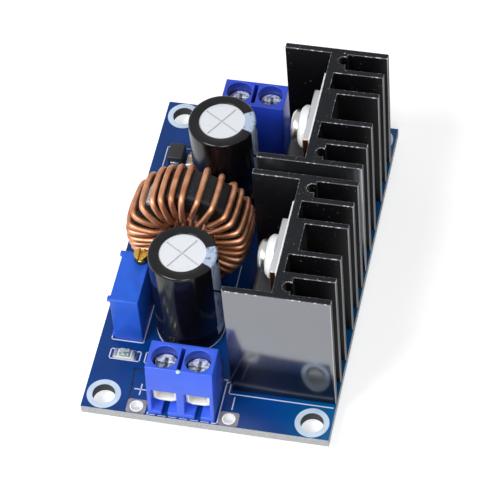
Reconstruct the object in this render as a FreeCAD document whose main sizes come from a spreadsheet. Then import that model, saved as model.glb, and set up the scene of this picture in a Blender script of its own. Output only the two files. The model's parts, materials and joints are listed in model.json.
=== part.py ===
"""Adjustable step-down (buck) converter module, modelled in millimetres.

The origin is the centre of the four mounting holes on the board's underside. +Z points
up through the parts, +Y runs along the board to the input terminal and +X points to the
side that carries the two finned heatsinks.
"""
import FreeCAD, Part
import math
import os
import re
import Sketcher

Vector = FreeCAD.Vector

# Driving dimensions. Lengths are in millimetres and angles in degrees.
SIZES = {
    # circuit board
    "board_width": 38.0,
    "board_length": 61.0,
    "board_thickness": 1.6,
    "mount_hole": 3.5,
    "mount_edge_x": 3.0,
    "mount_edge_y": 2.7,
    "wire_pad_hole": 1.7,
    "wire_pad_edge": 1.3,
    "wire_pad_offset": 7.1,
    "lead_tail": 1.5,
    "lead_clearance": 0.12,
    "solder_height": 0.9,
    "solder_land": 0.45,
    # finned heatsinks
    "sink_width": 16.0,
    "sink_length": 23.0,
    "sink_height": 25.0,
    "sink_lift": 0.3,
    "sink_plate": 1.0,
    "sink_fin": 0.9,
    "sink_fin_outer": 7.0,
    "sink_fin_inner": 2.9,
    "sink_face": 7.2,
    "sink_web": 1.1,
    "sink_core": 2.4,
    "sink_boss": 2.65,
    "sink_slot": 1.6,
    "sink_slot_depth": 2.15,
    "sink_slot_offset": 9.15,
    "sink_out_end": 17.8,
    "sink_in_end": 17.96,
    "sink_pin": 1.5,
    "sink_pin_grip": 8.0,
    # power packages on the heatsinks
    "tab_top": 24.2,
    "tab_width": 10.16,
    "tab_thickness": 1.3,
    "tab_hole": 3.8,
    "tab_hole_drop": 2.9,
    "tab_neck": 1.2,
    "case_drop": 6.4,
    "case_height": 9.0,
    "case_width": 10.0,
    "case_depth": 3.2,
    "case_bevel": 0.5,
    "lead_width": 0.8,
    "lead_thickness": 0.5,
    "lead_level": 2.5,
    "lead_kick": 2.2,
    "lead_straight": 1.6,
    "regulator_pitch": 1.7,
    "rectifier_pitch": 2.54,
    "pad_width": 13.4,
    "pad_height": 19.0,
    "pad_thickness": 0.3,
    "pad_rise": 2.2,
    "bush_flange": 6.6,
    "bush_thickness": 1.3,
    "bush_bevel": 0.5,
    "bush_neck": 3.6,
    "bush_bore": 3.1,
    "screw_shank": 2.9,
    "screw_length": 6.0,
    "screw_head": 4.9,
    "screw_head_height": 1.3,
    "screw_dome": 0.5,
    "screw_slot": 0.8,
    "screw_slot_length": 2.8,
    "screw_slot_depth": 0.8,
    # upright ring inductor
    "coil_edge": 11.46,
    "coil_y": -1.2,
    "coil_lift": 0.45,
    "coil_lean": 4.8,
    "core_outer": 17.5,
    "core_inner": 9.8,
    "core_height": 6.2,
    "core_bevel": 0.5,
    "coil_wire": 0.95,
    "coil_gap": 0.06,
    "coil_crown": 88.0,
    "coil_turns_right": 13,
    "coil_turns_left": 18,
    "coil_pitch_right": 17.5,
    "coil_tight_right": 11.5,
    "coil_loose_right": 2.5,
    "coil_pitch_left": 13.2,
    "coil_tight_left": 6.9,
    "coil_loose_left": 6.2,
    "bore_pitch_right": 17.0,
    "bore_tight_right": 10.0,
    "bore_loose_right": 6.5,
    "bore_pitch_left": 15.0,
    "bore_tight_left": 10.5,
    "bore_loose_left": 7.5,
    "coil_layer": 0.75,
    "coil_bulge": 0.55,
    # electrolytic capacitors
    "cap_diameter": 10.0,
    "cap_height": 17.6,
    "cap_lift": 0.5,
    "cap_bevel": 0.5,
    "cap_score": 0.25,
    "cap_score_depth": 0.15,
    "cap_score_length": 6.4,
    "sleeve_wall": 0.25,
    "sleeve_fold": 7.1,
    "seal_diameter": 8.4,
    "seal_height": 1.0,
    "cap_lead": 0.7,
    "cap_lead_pitch": 5.0,
    "cap_out_edge": 13.35,
    "cap_out_end": 17.35,
    "cap_in_edge": 13.8,
    "cap_in_end": 17.7,
    # screw terminals
    "terminal_out_edge": 15.5,
    "terminal_out_end": 4.15,
    "terminal_in_edge": 15.8,
    "terminal_in_end": 4.5,
    "terminal_pitch": 5.08,
    "terminal_width": 10.2,
    "terminal_height": 10.0,
    "terminal_front": 3.85,
    "terminal_back": 3.75,
    "terminal_top_front": 2.35,
    "terminal_top_back": 2.65,
    "terminal_brow_front": 3.05,
    "terminal_brow_height": 5.1,
    "terminal_floor": 0.8,
    "terminal_brow": 0.6,
    "terminal_chamber": 5.3,
    "terminal_ceiling": 6.6,
    "terminal_shelf": 0.4,
    "terminal_well": 3.9,
    "terminal_slot_width": 0.6,
    "terminal_slot_length": 3.9,
    "terminal_slot_depth": 3.0,
    "terminal_notch": 0.9,
    "terminal_notch_depth": 3.0,
    "cage_width": 3.7,
    "cage_length": 4.3,
    "cage_height": 3.65,
    "cage_wall": 0.45,
    "cage_top": 0.6,
    "cage_level": 1.8,
    "cage_bow": 0.4,
    "cage_advance": 0.2,
    "clamp_screw": 2.4,
    "clamp_gap": 0.05,
    "clamp_head": 3.6,
    "clamp_head_height": 1.15,
    "clamp_slot": 0.7,
    "clamp_slot_depth": 0.7,
    "contact_width": 2.2,
    "contact_thickness": 0.4,
    "contact_level": 3.55,
    "contact_front": 1.9,
    "contact_back": 2.75,
    "contact_pin": 0.9,
    # multi-turn trimmer
    "trimmer_edge": 4.55,
    "trimmer_end": 17.7,
    "trimmer_width": 4.43,
    "trimmer_length": 9.53,
    "trimmer_height": 10.0,
    "trimmer_wall": 0.5,
    "trimmer_base_low": 0.4,
    "trimmer_base": 0.6,
    "trimmer_screw_edge": 1.27,
    "trimmer_screw_head": 2.2,
    "trimmer_screw_rise": 1.5,
    "trimmer_screw_slot": 0.5,
    "trimmer_slot_depth": 0.7,
    "trimmer_spindle": 1.3,
    "trimmer_gap": 0.05,
    "trimmer_ring": 2.3,
    "trimmer_ring_height": 0.7,
    "trimmer_plate": 0.6,
    "trimmer_plate_length": 7.4,
    "trimmer_plate_height": 8.0,
    "carriage_height": 1.8,
    "carriage_length": 2.4,
    "carriage_level": 4.3,
    "trimmer_pin": 0.5,
    "trimmer_pin_pitch": 2.54,
    "trimmer_pin_rise": 0.2,
    "trimmer_lug": 0.4,
    "trimmer_lug_length": 0.9,
    "trimmer_lug_height": 0.6,
    # small surface parts
    "diode_edge": 3.9,
    "diode_end": 11.6,
    "diode_width": 2.4,
    "diode_length": 3.2,
    "diode_height": 2.0,
    "diode_lead_width": 1.4,
    "diode_lead_sheet": 0.2,
    "diode_lead_height": 1.0,
    "diode_foot": 0.9,
    "led_edge": 4.5,
    "led_end": 10.2,
    "led_length": 3.2,
    "led_width": 1.6,
    "led_base": 0.4,
    "led_lens_height": 0.5,
    "led_lens_length": 1.8,
    "led_lens_width": 1.3,
    "chip_length": 2.0,
    "chip_width": 1.25,
    "chip_height": 0.55,
    "chip_end": 0.4,
    "chip_cap": 0.04,
    "led_resistor_edge": 9.3,
    "input_chip_edge": 6.25,
    "input_chip_end": 12.0,
    "feedback_edge": 20.0,
    "feedback_end": 15.0,
    "control_end": 18.5,
}

WIRE_SIDES = 6
SOLDER_SIDES = 8
TAU = 2.0 * math.pi

doc = FreeCAD.newDocument("BuckConverter")
sheet = doc.addObject("Spreadsheet::Sheet", "Sizes")
for row, (alias, value) in enumerate(SIZES.items(), start=1):
    sheet.set(f"A{row}", alias)
    sheet.set(f"B{row}", str(value))
    sheet.setAlias(f"B{row}", alias)
doc.recompute()

kept = []


def size(alias):
    """Read one driving dimension from the sheet."""
    return float(sheet.get(alias))


def formula(text):
    """Point each size name in a formula at the sheet."""
    return re.sub(
        r"[a-z][a-z_]+", lambda word: ("Sizes." if word.group(0) in SIZES else "") + word.group(0), text
    )


def bind(item, **formulas):
    """Drive properties of an object by formulas."""
    for name, text in formulas.items():
        item.setExpression(name, formula(text))
    return item


def place(item, x="0", y="0", z="0", turn=0):
    """Put an object at a position given by formulas, turned about Z."""
    item.Placement = FreeCAD.Placement(Vector(), FreeCAD.Rotation(Vector(0, 0, 1), turn))
    for axis, text in (("x", x), ("y", y), ("z", z)):
        item.setExpression(f"Placement.Base.{axis}", formula(text))
    return item


def keep(item, label):
    """Give a finished piece the name that its file will have."""
    item.Label = label
    kept.append(item)
    return item


def box(x, y, z, length, width, height):
    """Make a box between formulas, with its low corner at x, y, z."""
    item = bind(doc.addObject("Part::Box", "Block"), Length=length, Width=width, Height=height)
    return place(item, x, y, z)


def cylinder(x, y, z, diameter, height):
    """Make an upright cylinder on a formula position."""
    item = bind(doc.addObject("Part::Cylinder", "Round"), Radius=f"({diameter}) / 2", Height=height)
    return place(item, x, y, z)


def cut(base, *tools):
    """Take tools away from a base."""
    for tool in tools:
        result = doc.addObject("Part::Cut", "Cut")
        result.Base = base
        result.Tool = tool
        base = result
    return base


def fuse(*items):
    """Join items into one solid."""
    result = doc.addObject("Part::MultiFuse", "Joined")
    result.Shapes = list(items)
    result.Refine = True
    return result


def group(*items):
    """Gather separate solids in one piece list."""
    result = doc.addObject("Part::Compound", "Set")
    result.Links = list(items)
    return result


def new_body(name):
    """Start a body."""
    return doc.addObject("PartDesign::Body", name)


def new_sketch(body, role):
    """Start a sketch on one of a body's origin planes."""
    sketch = body.newObject("Sketcher::SketchObject", "Profile")
    plane = [feature for feature in body.Origin.OriginFeatures if feature.Role == role][0]
    sketch.AttachmentSupport = [(plane, "")]
    sketch.MapMode = "FlatFace"
    return sketch


def pin_point(sketch, edge, point, at, x, y):
    """Tie a sketch point to two formulas."""
    for kind, value, text in (("DistanceX", at.x, x), ("DistanceY", at.y, y)):
        index = sketch.addConstraint(Sketcher.Constraint(kind, -1, 1, edge, point, value))
        sketch.setExpression(f"Constraints[{index}]", formula(text))


def add_outline(sketch, corners):
    """Draw a closed outline of straight edges through corners given as formulas."""
    first = sketch.GeometryCount
    count = len(corners)
    start = [Vector(math.cos(TAU * i / count), math.sin(TAU * i / count), 0) for i in range(count)]
    for i in range(count):
        sketch.addGeometry(Part.LineSegment(start[i], start[(i + 1) % count]), False)
    for i in range(count):
        sketch.addConstraint(Sketcher.Constraint("Coincident", first + i, 2, first + (i + 1) % count, 1))
    for i, (x, y) in enumerate(corners):
        pin_point(sketch, first + i, 1, start[i], x, y)


def add_circle(sketch, x, y, diameter):
    """Draw a circle with its centre and diameter given as formulas."""
    edge = sketch.addGeometry(Part.Circle(Vector(1, 1, 0), Vector(0, 0, 1), 1.0), False)
    pin_point(sketch, edge, 3, Vector(1, 1, 0), x, y)
    index = sketch.addConstraint(Sketcher.Constraint("Diameter", edge, 2.0))
    sketch.setExpression(f"Constraints[{index}]", formula(diameter))


def pad(body, sketch, length, both_ways=False):
    """Raise a sketch into a solid."""
    feature = body.newObject("PartDesign::Pad", "Pad")
    feature.Profile = sketch
    if both_ways:
        feature.SideType = "Symmetric"
    return bind(feature, Length=length)


def pocket(body, sketch, depth=None, both_ways=False, reverse=False):
    """Sink a sketch into the body, right through if no depth is given."""
    feature = body.newObject("PartDesign::Pocket", "Pocket")
    feature.Profile = sketch
    feature.Reversed = reverse
    if both_ways:
        feature.SideType = "Symmetric"
    if depth is None:
        feature.Type = "ThroughAll"
        return feature
    return bind(feature, Length=depth)


def turned(label, corners, lying=False):
    """Turn an outline of (radius, height) corners about Z, or about X when lying."""
    body = new_body(label)
    sketch = new_sketch(body, "XZ_Plane")
    add_outline(sketch, [(height, radius) if lying else (radius, height) for radius, height in corners])
    feature = body.newObject("PartDesign::Revolution", "Turned")
    feature.Profile = sketch
    feature.ReferenceAxis = (sketch, ["H_Axis" if lying else "V_Axis"])
    feature.Angle = 360.0
    return body


def from_left(edge):
    """Place at a distance from the board's left edge."""
    return f"({edge} - board_width / 2)"


def from_front(end):
    """Place at a distance from the board's output end."""
    return f"({end} - board_length / 2)"


def from_back(end):
    """Place at a distance from the board's input end."""
    return f"(board_length / 2 - {end})"


BOARD_TOP = "board_thickness"
TAIL_LENGTH = "board_thickness + lead_tail"


# Places of the parts, counted from the board's edges

MOUNT_X = "(board_width / 2 - mount_edge_x)"
MOUNT_Y = "(board_length / 2 - mount_edge_y)"
SINK_X = "(board_width / 2 - sink_width / 2)"
SPINE_X = "(board_width / 2 - sink_width + sink_face)"
PIN_X = f"({SPINE_X} + sink_slot_depth)"
LEAD_X = f"({SPINE_X} - pad_thickness - lead_level)"
SINKS = {"output": from_front("sink_out_end"), "input": from_back("sink_in_end")}
CAPS = {
    "output": (from_left("cap_out_edge"), from_front("cap_out_end")),
    "input": (from_left("cap_in_edge"), from_back("cap_in_end")),
}
TERMINALS = {
    "output": (from_left("terminal_out_edge"), from_front("terminal_out_end"), -1),
    "input": (from_left("terminal_in_edge"), from_back("terminal_in_end"), 1),
}
COIL_X = from_left("coil_edge")
TRIMMER_X = from_left("trimmer_edge")
TRIMMER_Y = from_front("trimmer_end")
DIODE_X = from_left("diode_edge")
DIODE_Y = from_back("diode_end")
LED_X = from_left("led_edge")
LED_Y = from_front("led_end")
SINK_PIN_HOLES = [(PIN_X, f"{y} + {side} * sink_slot_offset") for y in SINKS.values() for side in (-1, 1)]
CAP_HOLES = [(x, f"{y} + {side} * cap_lead_pitch / 2") for x, y in CAPS.values() for side in (-1, 1)]
CONTACT_PIN_Y = "(contact_back - contact_thickness / 2)"
TERMINAL_HOLES = [
    (f"{x} + {side} * terminal_pitch / 2", f"{y} - {end} * {CONTACT_PIN_Y}")
    for x, y, end in TERMINALS.values()
    for side in (-1, 1)
]
REGULATOR_LEADS = [(f"{i} * regulator_pitch", i % 2) for i in (-2, -1, 0, 1, 2)]
RECTIFIER_LEADS = [(f"{i} * rectifier_pitch", 0) for i in (-1, 0, 1)]
REGULATOR_HOLES = [
    (f"{LEAD_X} - {kick} * lead_kick", f"{SINKS['input']} + {y}")
    for y, kick in REGULATOR_LEADS
]
RECTIFIER_HOLES = [
    (f"{LEAD_X} - {kick} * lead_kick", f"{SINKS['output']} + {y}")
    for y, kick in RECTIFIER_LEADS
]
ELEMENT_FACE = f"({TRIMMER_X} - trimmer_width / 2 + trimmer_wall + trimmer_plate)"
TRIMMER_PIN_X = f"({ELEMENT_FACE} + trimmer_pin / 2)"
TRIMMER_HOLES = [(TRIMMER_PIN_X, f"{TRIMMER_Y} + {i} * trimmer_pin_pitch") for i in (-1, 0, 1)]
SPINDLE_X = f"({TRIMMER_X} + trimmer_width / 2 - trimmer_screw_edge)"
SPINDLE_Y = f"({TRIMMER_Y} + trimmer_length / 2 - trimmer_screw_edge)"


def coil_angle(layer, side, order):
    """Angle round the ring of one turn, counted from the crown down one side."""
    name = "right" if side > 0 else "left"
    loose = min(order, size(f"{layer}_loose_{name}"))
    away = loose * size(f"{layer}_pitch_{name}") + (order - loose) * size(f"{layer}_tight_{name}")
    return math.radians(size("coil_crown") - side * away)


def coil_places():
    """List each turn's outer angle, bore angle and layer from the right lead to the left one."""
    right = [(1, n, n % 2) for n in range(int(size("coil_turns_right")))]
    left = [(-1, n, 1 - n % 2) for n in range(int(size("coil_turns_left")))]
    turns = right[::-1] + left
    return [
        (coil_angle("coil", side, n + 0.5), coil_angle("bore", side, n + 0.5), layer)
        for side, n, layer in turns
    ]


COIL_RADIUS = size("core_outer") / 2 + size("coil_gap") + size("coil_wire") / 2
COIL_BORE = size("core_inner") / 2 - size("coil_gap") - size("coil_wire") / 2
COIL_HALF = size("core_height") / 2 + size("coil_gap") + size("coil_wire") / 2
COIL_RISE = "(board_thickness + coil_lift + core_outer / 2 + coil_gap + coil_wire)"
COIL_Z = size("board_thickness") + size("coil_lift") + COIL_RADIUS + size("coil_wire") / 2


def on_ring(angle, radius, along):
    """Point of the winding at an angle, a radius and a distance along the ring's axis."""
    lean = FreeCAD.Rotation(Vector(1, 0, 0), -size("coil_lean"))
    point = Vector(radius * math.cos(angle), along, radius * math.sin(angle))
    middle = Vector(size("coil_edge") - size("board_width") / 2, size("coil_y"), COIL_Z)
    return middle + lean.multVec(point)


COIL_LEAD_POINTS = [
    on_ring(coil_places()[0][0], COIL_RADIUS, COIL_HALF),
    on_ring(coil_places()[-1][0], COIL_RADIUS, -COIL_HALF),
]


# Circuit board

def circuit_board():
    """Board with its mounting holes, wire pads and a hole for every lead."""
    body = new_body("Board")
    sketch = new_sketch(body, "XY_Plane")
    corners = [(-1, -1), (1, -1), (1, 1), (-1, 1)]
    add_outline(sketch, [(f"{i} * board_width / 2", f"{j} * board_length / 2") for i, j in corners])
    for i, j in corners:
        add_circle(sketch, f"{i} * {MOUNT_X}", f"{j} * {MOUNT_Y}", "mount_hole")
    for x, _, end in TERMINALS.values():
        for side in (-1, 1):
            y = f"{end} * (board_length / 2 - wire_pad_edge)"
            add_circle(sketch, f"{x} + {side} * wire_pad_offset", y, "wire_pad_hole")
    blade = "sqrt(lead_width * lead_width + lead_thickness * lead_thickness) + lead_clearance"
    for holes, width in (
        (SINK_PIN_HOLES, "sink_pin + 2 * lead_clearance"),
        (CAP_HOLES, "cap_lead + 2 * lead_clearance"),
        (TERMINAL_HOLES, "contact_pin * sqrt(2)"),
        (REGULATOR_HOLES + RECTIFIER_HOLES, blade),
        (TRIMMER_HOLES, "trimmer_pin * sqrt(2) + lead_clearance"),
    ):
        for x, y in holes:
            add_circle(sketch, x, y, width)
    pad(body, sketch, BOARD_TOP)
    drilled = body
    for point in COIL_LEAD_POINTS:
        drill = cylinder(str(point.x), str(point.y), "0", "coil_wire + 2 * lead_clearance", BOARD_TOP)
        drilled = cut(drilled, drill)
    keep(drilled, "circuit_board")


# Heatsinks, their pins and the power packages that they cool

def heatsink(name, sink_y):
    """Extruded heatsink with two end plates, four fins, a spine and two pin slots."""
    body = new_body("Heatsink")
    half = "sink_length / 2"
    left = "-sink_width / 2"
    right = "sink_width / 2"
    face = "sink_face - sink_width / 2"
    steps = [
        ("sink_boss", f"{half} - sink_plate", "sink_fin_outer + sink_fin / 2"),
        ("sink_web", "sink_fin_outer - sink_fin / 2", "sink_fin_inner + sink_fin / 2"),
        ("sink_core", "sink_fin_inner - sink_fin / 2", "0 - sink_fin_inner + sink_fin / 2"),
        ("sink_web", "0 - sink_fin_inner - sink_fin / 2", "0 - sink_fin_outer + sink_fin / 2"),
        ("sink_boss", "0 - sink_fin_outer - sink_fin / 2", f"0 - {half} + sink_plate"),
    ]
    corners = [
        (face, f"0 - {half} + sink_plate"), (left, f"0 - {half} + sink_plate"), (left, f"0 - {half}")
    ]
    corners += [(right, f"0 - {half}")]
    for depth, high, low in reversed(steps):
        corners += [(right, low), (f"{face} + {depth}", low), (f"{face} + {depth}", high), (right, high)]
    corners += [(right, half), (left, half), (left, f"{half} - sink_plate"), (face, f"{half} - sink_plate")]
    sketch = new_sketch(body, "XY_Plane")
    add_outline(sketch, corners)
    pad(body, sketch, "sink_height")
    slots = new_sketch(body, "XY_Plane")
    for side in (-1, 1):
        add_circle(slots, f"{face} + sink_slot_depth", f"{side} * sink_slot_offset", "sink_slot")
    pocket(body, slots, reverse=True)
    tapped = new_sketch(body, "YZ_Plane")
    add_circle(
        tapped, "0", "tab_top - tab_hole_drop - board_thickness - sink_lift", "screw_shank + 2 * clamp_gap"
    )
    pocket(body, tapped, "2 * sink_width", both_ways=True)
    keep(place(body, SINK_X, sink_y, "board_thickness + sink_lift"), f"{name}_heatsink")


def heatsink_pins(name, sink_y):
    """Two solder pins pressed into the slots of one heatsink."""
    pins = [
        cylinder(PIN_X, f"{sink_y} + {side} * sink_slot_offset", "-lead_tail", "sink_pin",
                 f"{TAIL_LENGTH} + sink_lift + sink_pin_grip")
        for side in (-1, 1)
    ]
    keep(group(*pins), f"{name}_heatsink_pins")


def package_leads(sink_y, leads):
    """Flat leads that run from under the case down through the board."""
    made = []
    bottom = "tab_top - case_drop - case_height"
    for y, kick in leads:
        shift = f"{kick} * lead_kick"
        half = "lead_thickness / 2"
        corners = [
            (f"0 - {half}", bottom), (half, bottom), (half, f"{bottom} - lead_straight"),
            (f"{half} - {shift}", f"{bottom} - lead_straight - {shift}"),
            (f"{half} - {shift}", "0 - lead_tail"), (f"0 - {half} - {shift}", "0 - lead_tail"),
            (f"0 - {half} - {shift}", f"{bottom} - lead_straight - {shift}"),
            (f"0 - {half}", f"{bottom} - lead_straight"),
        ]
        if not kick:
            corners = [corners[0], corners[1], (half, "0 - lead_tail"), (f"0 - {half}", "0 - lead_tail")]
        body = new_body("Lead")
        sketch = new_sketch(body, "XZ_Plane")
        add_outline(sketch, corners)
        pad(body, sketch, "lead_width", both_ways=True)
        made.append(place(body, LEAD_X, f"{sink_y} + {y}"))
    return group(*made)


def power_package(name, sink_y, leads):
    """Tab, moulded case and leads of one power package, with its insulated screw."""
    hole_z = "tab_top - tab_hole_drop"
    tab_x = f"{SPINE_X} - pad_thickness - tab_thickness"
    body = new_body("Tab")
    sketch = new_sketch(body, "YZ_Plane")
    half = "tab_width / 2"
    waist = "tab_top - case_drop"
    add_outline(sketch, [
        (f"0 - {half}", "tab_top"), (f"0 - {half}", f"{waist} + tab_neck"),
        (f"0 - {half} + tab_neck / 2", f"{waist} + tab_neck / 2"),
        (f"0 - {half} + tab_neck / 2", f"{waist} - case_height"),
        (f"{half} - tab_neck / 2", f"{waist} - case_height"),
        (f"{half} - tab_neck / 2", f"{waist} + tab_neck / 2"), (half, f"{waist} + tab_neck"),
        (half, "tab_top"),
    ])
    add_circle(sketch, "0", hole_z, "tab_hole")
    pad(body, sketch, "tab_thickness")
    keep(place(body, tab_x, sink_y), f"{name}_tab")

    case = new_body("Case")
    sketch = new_sketch(case, "XZ_Plane")
    add_outline(sketch, [
        ("0", waist), ("0", f"{waist} - case_height"),
        ("case_bevel - case_depth", f"{waist} - case_height"),
        ("0 - case_depth", f"{waist} - case_height + 2 * case_bevel"),
        ("0 - case_depth", f"{waist} - 2 * case_bevel"),
        ("case_bevel - case_depth", waist),
    ])
    pad(case, sketch, "case_width", both_ways=True)
    keep(place(case, tab_x, sink_y), f"{name}_case")
    keep(package_leads(sink_y, leads), f"{name}_leads")

    sheet_body = new_body("Pad")
    sketch = new_sketch(sheet_body, "YZ_Plane")
    top = "tab_top + pad_rise"
    add_outline(sketch, [
        ("-pad_width / 2", top), ("-pad_width / 2", f"{top} - pad_height"),
        ("pad_width / 2", f"{top} - pad_height"), ("pad_width / 2", top),
    ])
    add_circle(sketch, "0", hole_z, "tab_hole")
    pad(sheet_body, sketch, "pad_thickness")
    keep(place(sheet_body, f"{SPINE_X} - pad_thickness", sink_y), f"{name}_insulating_pad")

    bush = turned("Bush", [
        ("bush_bore / 2", "0 - bush_thickness"), ("bush_flange / 2 - bush_bevel", "0 - bush_thickness"),
        ("bush_flange / 2", "bush_bevel - bush_thickness"), ("bush_flange / 2", "0"),
        ("bush_neck / 2", "0"),
        ("bush_neck / 2", "tab_thickness"), ("bush_bore / 2", "tab_thickness"),
    ], lying=True)
    keep(place(bush, tab_x, sink_y, hole_z), f"{name}_insulating_bush")

    screw = turned("Screw", [
        ("0", "0"), ("screw_head / 2 - screw_dome", "0"), ("screw_head / 2", "screw_dome"),
        ("screw_head / 2", "screw_head_height"), ("screw_shank / 2", "screw_head_height"),
        ("screw_shank / 2", "screw_head_height + screw_length"), ("0", "screw_head_height + screw_length"),
    ], lying=True)
    cross = new_sketch(screw, "YZ_Plane")
    arm = "screw_slot_length / 2"
    bar = "screw_slot / 2"
    add_outline(cross, [
        (bar, bar), (arm, bar), (arm, f"-{bar}"), (bar, f"-{bar}"), (bar, f"-{arm}"),
        (f"-{bar}", f"-{arm}"),
        (f"-{bar}", f"-{bar}"), (f"-{arm}", f"-{bar}"), (f"-{arm}", bar), (f"-{bar}", bar),
        (f"-{bar}", arm), (bar, arm),
    ])
    pocket(screw, cross, "screw_slot_depth", reverse=True)
    keep(
        place(screw, f"{tab_x} - bush_thickness - screw_head_height", sink_y, hole_z),
        f"{name}_mounting_screw"
    )


# Ring inductor

def toroid_core():
    """Powder ring that stands on edge, with bevelled rims."""
    core = turned("Core", [
        ("core_inner / 2 + core_bevel", "-core_height / 2"),
        ("core_outer / 2 - core_bevel", "-core_height / 2"),
        ("core_outer / 2", "core_bevel - core_height / 2"),
        ("core_outer / 2", "core_height / 2 - core_bevel"),
        ("core_outer / 2 - core_bevel", "core_height / 2"),
        ("core_inner / 2 + core_bevel", "core_height / 2"),
        ("core_inner / 2", "core_height / 2 - core_bevel"),
        ("core_inner / 2", "core_bevel - core_height / 2"),
    ])
    core.Placement = FreeCAD.Placement(Vector(), FreeCAD.Rotation(Vector(1, 0, 0), 90))
    core.setExpression("Placement.Rotation.Angle", formula("90 - coil_lean"))
    for axis, text in (("x", COIL_X), ("y", "coil_y"), ("z", COIL_RISE)):
        core.setExpression(f"Placement.Base.{axis}", formula(text))
    keep(core, "toroid_core")


def winding_route():
    """Corner points of the wire: one lead, the turns round the ring, the other lead."""
    places = coil_places()
    tail = -size("lead_tail")
    route = [Vector(COIL_LEAD_POINTS[0].x, COIL_LEAD_POINTS[0].y, tail)]
    for outer, bore, layer in places:
        radius = COIL_BORE - layer * size("coil_layer")
        half = COIL_HALF + layer * size("coil_bulge")
        route += [on_ring(outer, COIL_RADIUS, COIL_HALF), on_ring(outer, COIL_RADIUS, -COIL_HALF)]
        route += [on_ring(bore, radius, -half), on_ring(bore, radius, half)]
    route = route[:-2]
    route.append(Vector(COIL_LEAD_POINTS[1].x, COIL_LEAD_POINTS[1].y, tail))
    return route


def ease(route, bend):
    """Replace each corner of a route by two points a short way before and after it."""
    eased = [route[0]]
    for before, corner, after in zip(route, route[1:], route[2:]):
        for other in (before, after):
            step = other - corner
            eased.append(corner + step * min(bend / step.Length, 0.4))
    eased.append(route[-1])
    return eased


def inductor_winding():
    """One enamelled wire wound round the ring, as a faceted bar along its route."""
    route = ease(winding_route(), size("coil_wire") * 0.6)
    radius = size("coil_wire") / 2
    side = Vector(1, 0, 0)
    rings = []
    for i, point in enumerate(route):
        back = (point - route[i - 1]).normalize() if i else Vector(0, 0, 1)
        ahead = (route[i + 1] - point).normalize() if i + 1 < len(route) else back
        if i == 0:
            back = ahead
        bisector = (back + ahead).normalize()
        side = (side - back * side.dot(back)).normalize()
        up = back.cross(side)
        ring = []
        for k in range(WIRE_SIDES):
            angle = TAU * (k + 0.5) / WIRE_SIDES
            spoke = side * (radius * math.cos(angle)) + up * (radius * math.sin(angle))
            ring.append(point + spoke - back * (spoke.dot(bisector) / back.dot(bisector)))
        rings.append(ring)
        side = (side - ahead * side.dot(ahead)).normalize()
    faces = []
    for low, high in zip(rings, rings[1:]):
        for k in range(WIRE_SIDES):
            n = (k + 1) % WIRE_SIDES
            faces.append(Part.Face(Part.makePolygon([low[k], low[n], high[k], low[k]])))
            faces.append(Part.Face(Part.makePolygon([low[n], high[n], high[k], low[n]])))
    for ring in (rings[0], rings[-1]):
        faces.append(Part.Face(Part.makePolygon(ring + [ring[0]])))
    winding = doc.addObject("Part::Feature", "Winding")
    shell = Part.makeShell(faces)
    shell.sewShape()
    solid = Part.makeSolid(shell)
    if solid.Volume < 0:
        solid.reverse()
    winding.Shape = solid
    keep(winding, "inductor_winding")


# Electrolytic capacitors

def capacitor(name, x, y):
    """Can with a scored vent, shrink sleeve, rubber seal and two leads."""
    radius = "cap_diameter / 2"
    foot = "board_thickness + cap_lift"
    can = turned("Can", [
        ("0", "seal_height"), (f"{radius} - cap_bevel", "seal_height"), (radius, "seal_height + cap_bevel"),
        (radius, "cap_height - cap_bevel"), (f"{radius} - cap_bevel", "cap_height"), ("0", "cap_height"),
    ])
    vent = new_sketch(can, "XY_Plane")
    arm = "cap_score_length / 2"
    bar = "cap_score / 2"
    add_outline(vent, [
        (bar, bar), (arm, bar), (arm, f"-{bar}"), (bar, f"-{bar}"), (bar, f"-{arm}"),
        (f"-{bar}", f"-{arm}"),
        (f"-{bar}", f"-{bar}"), (f"-{arm}", f"-{bar}"), (f"-{arm}", bar), (f"-{bar}", bar),
        (f"-{bar}", arm), (bar, arm),
    ])
    vent.setExpression("AttachmentOffset.Base.z", formula("cap_height - cap_score_depth"))
    pocket(can, vent, reverse=True)
    keep(place(can, x, y, foot, turn=-32), f"{name}_capacitor_can")

    fold = "sleeve_fold / 2"
    sleeve = turned("Sleeve", [
        (radius, "0"), (f"{radius} + sleeve_wall", "0"),
        (f"{radius} + sleeve_wall", "cap_height - cap_bevel"),
        (f"{radius} + sleeve_wall - cap_bevel", "cap_height + sleeve_wall"),
        (fold, "cap_height + sleeve_wall"),
        (fold, "cap_height"), (f"{radius} - cap_bevel", "cap_height"), (radius, "cap_height - cap_bevel"),
    ])
    keep(place(sleeve, x, y, foot), f"{name}_capacitor_sleeve")
    keep(cylinder(x, y, foot, "seal_diameter", "seal_height"), f"{name}_capacitor_seal")
    leads = [
        cylinder(
            x, f"{y} + {side} * cap_lead_pitch / 2", "-lead_tail", "cap_lead", f"{TAIL_LENGTH} + cap_lift"
        )
        for side in (-1, 1)
    ]
    keep(group(*leads), f"{name}_capacitor_leads")


# Screw terminals. They are drawn with the wire mouths towards -Y.

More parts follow.
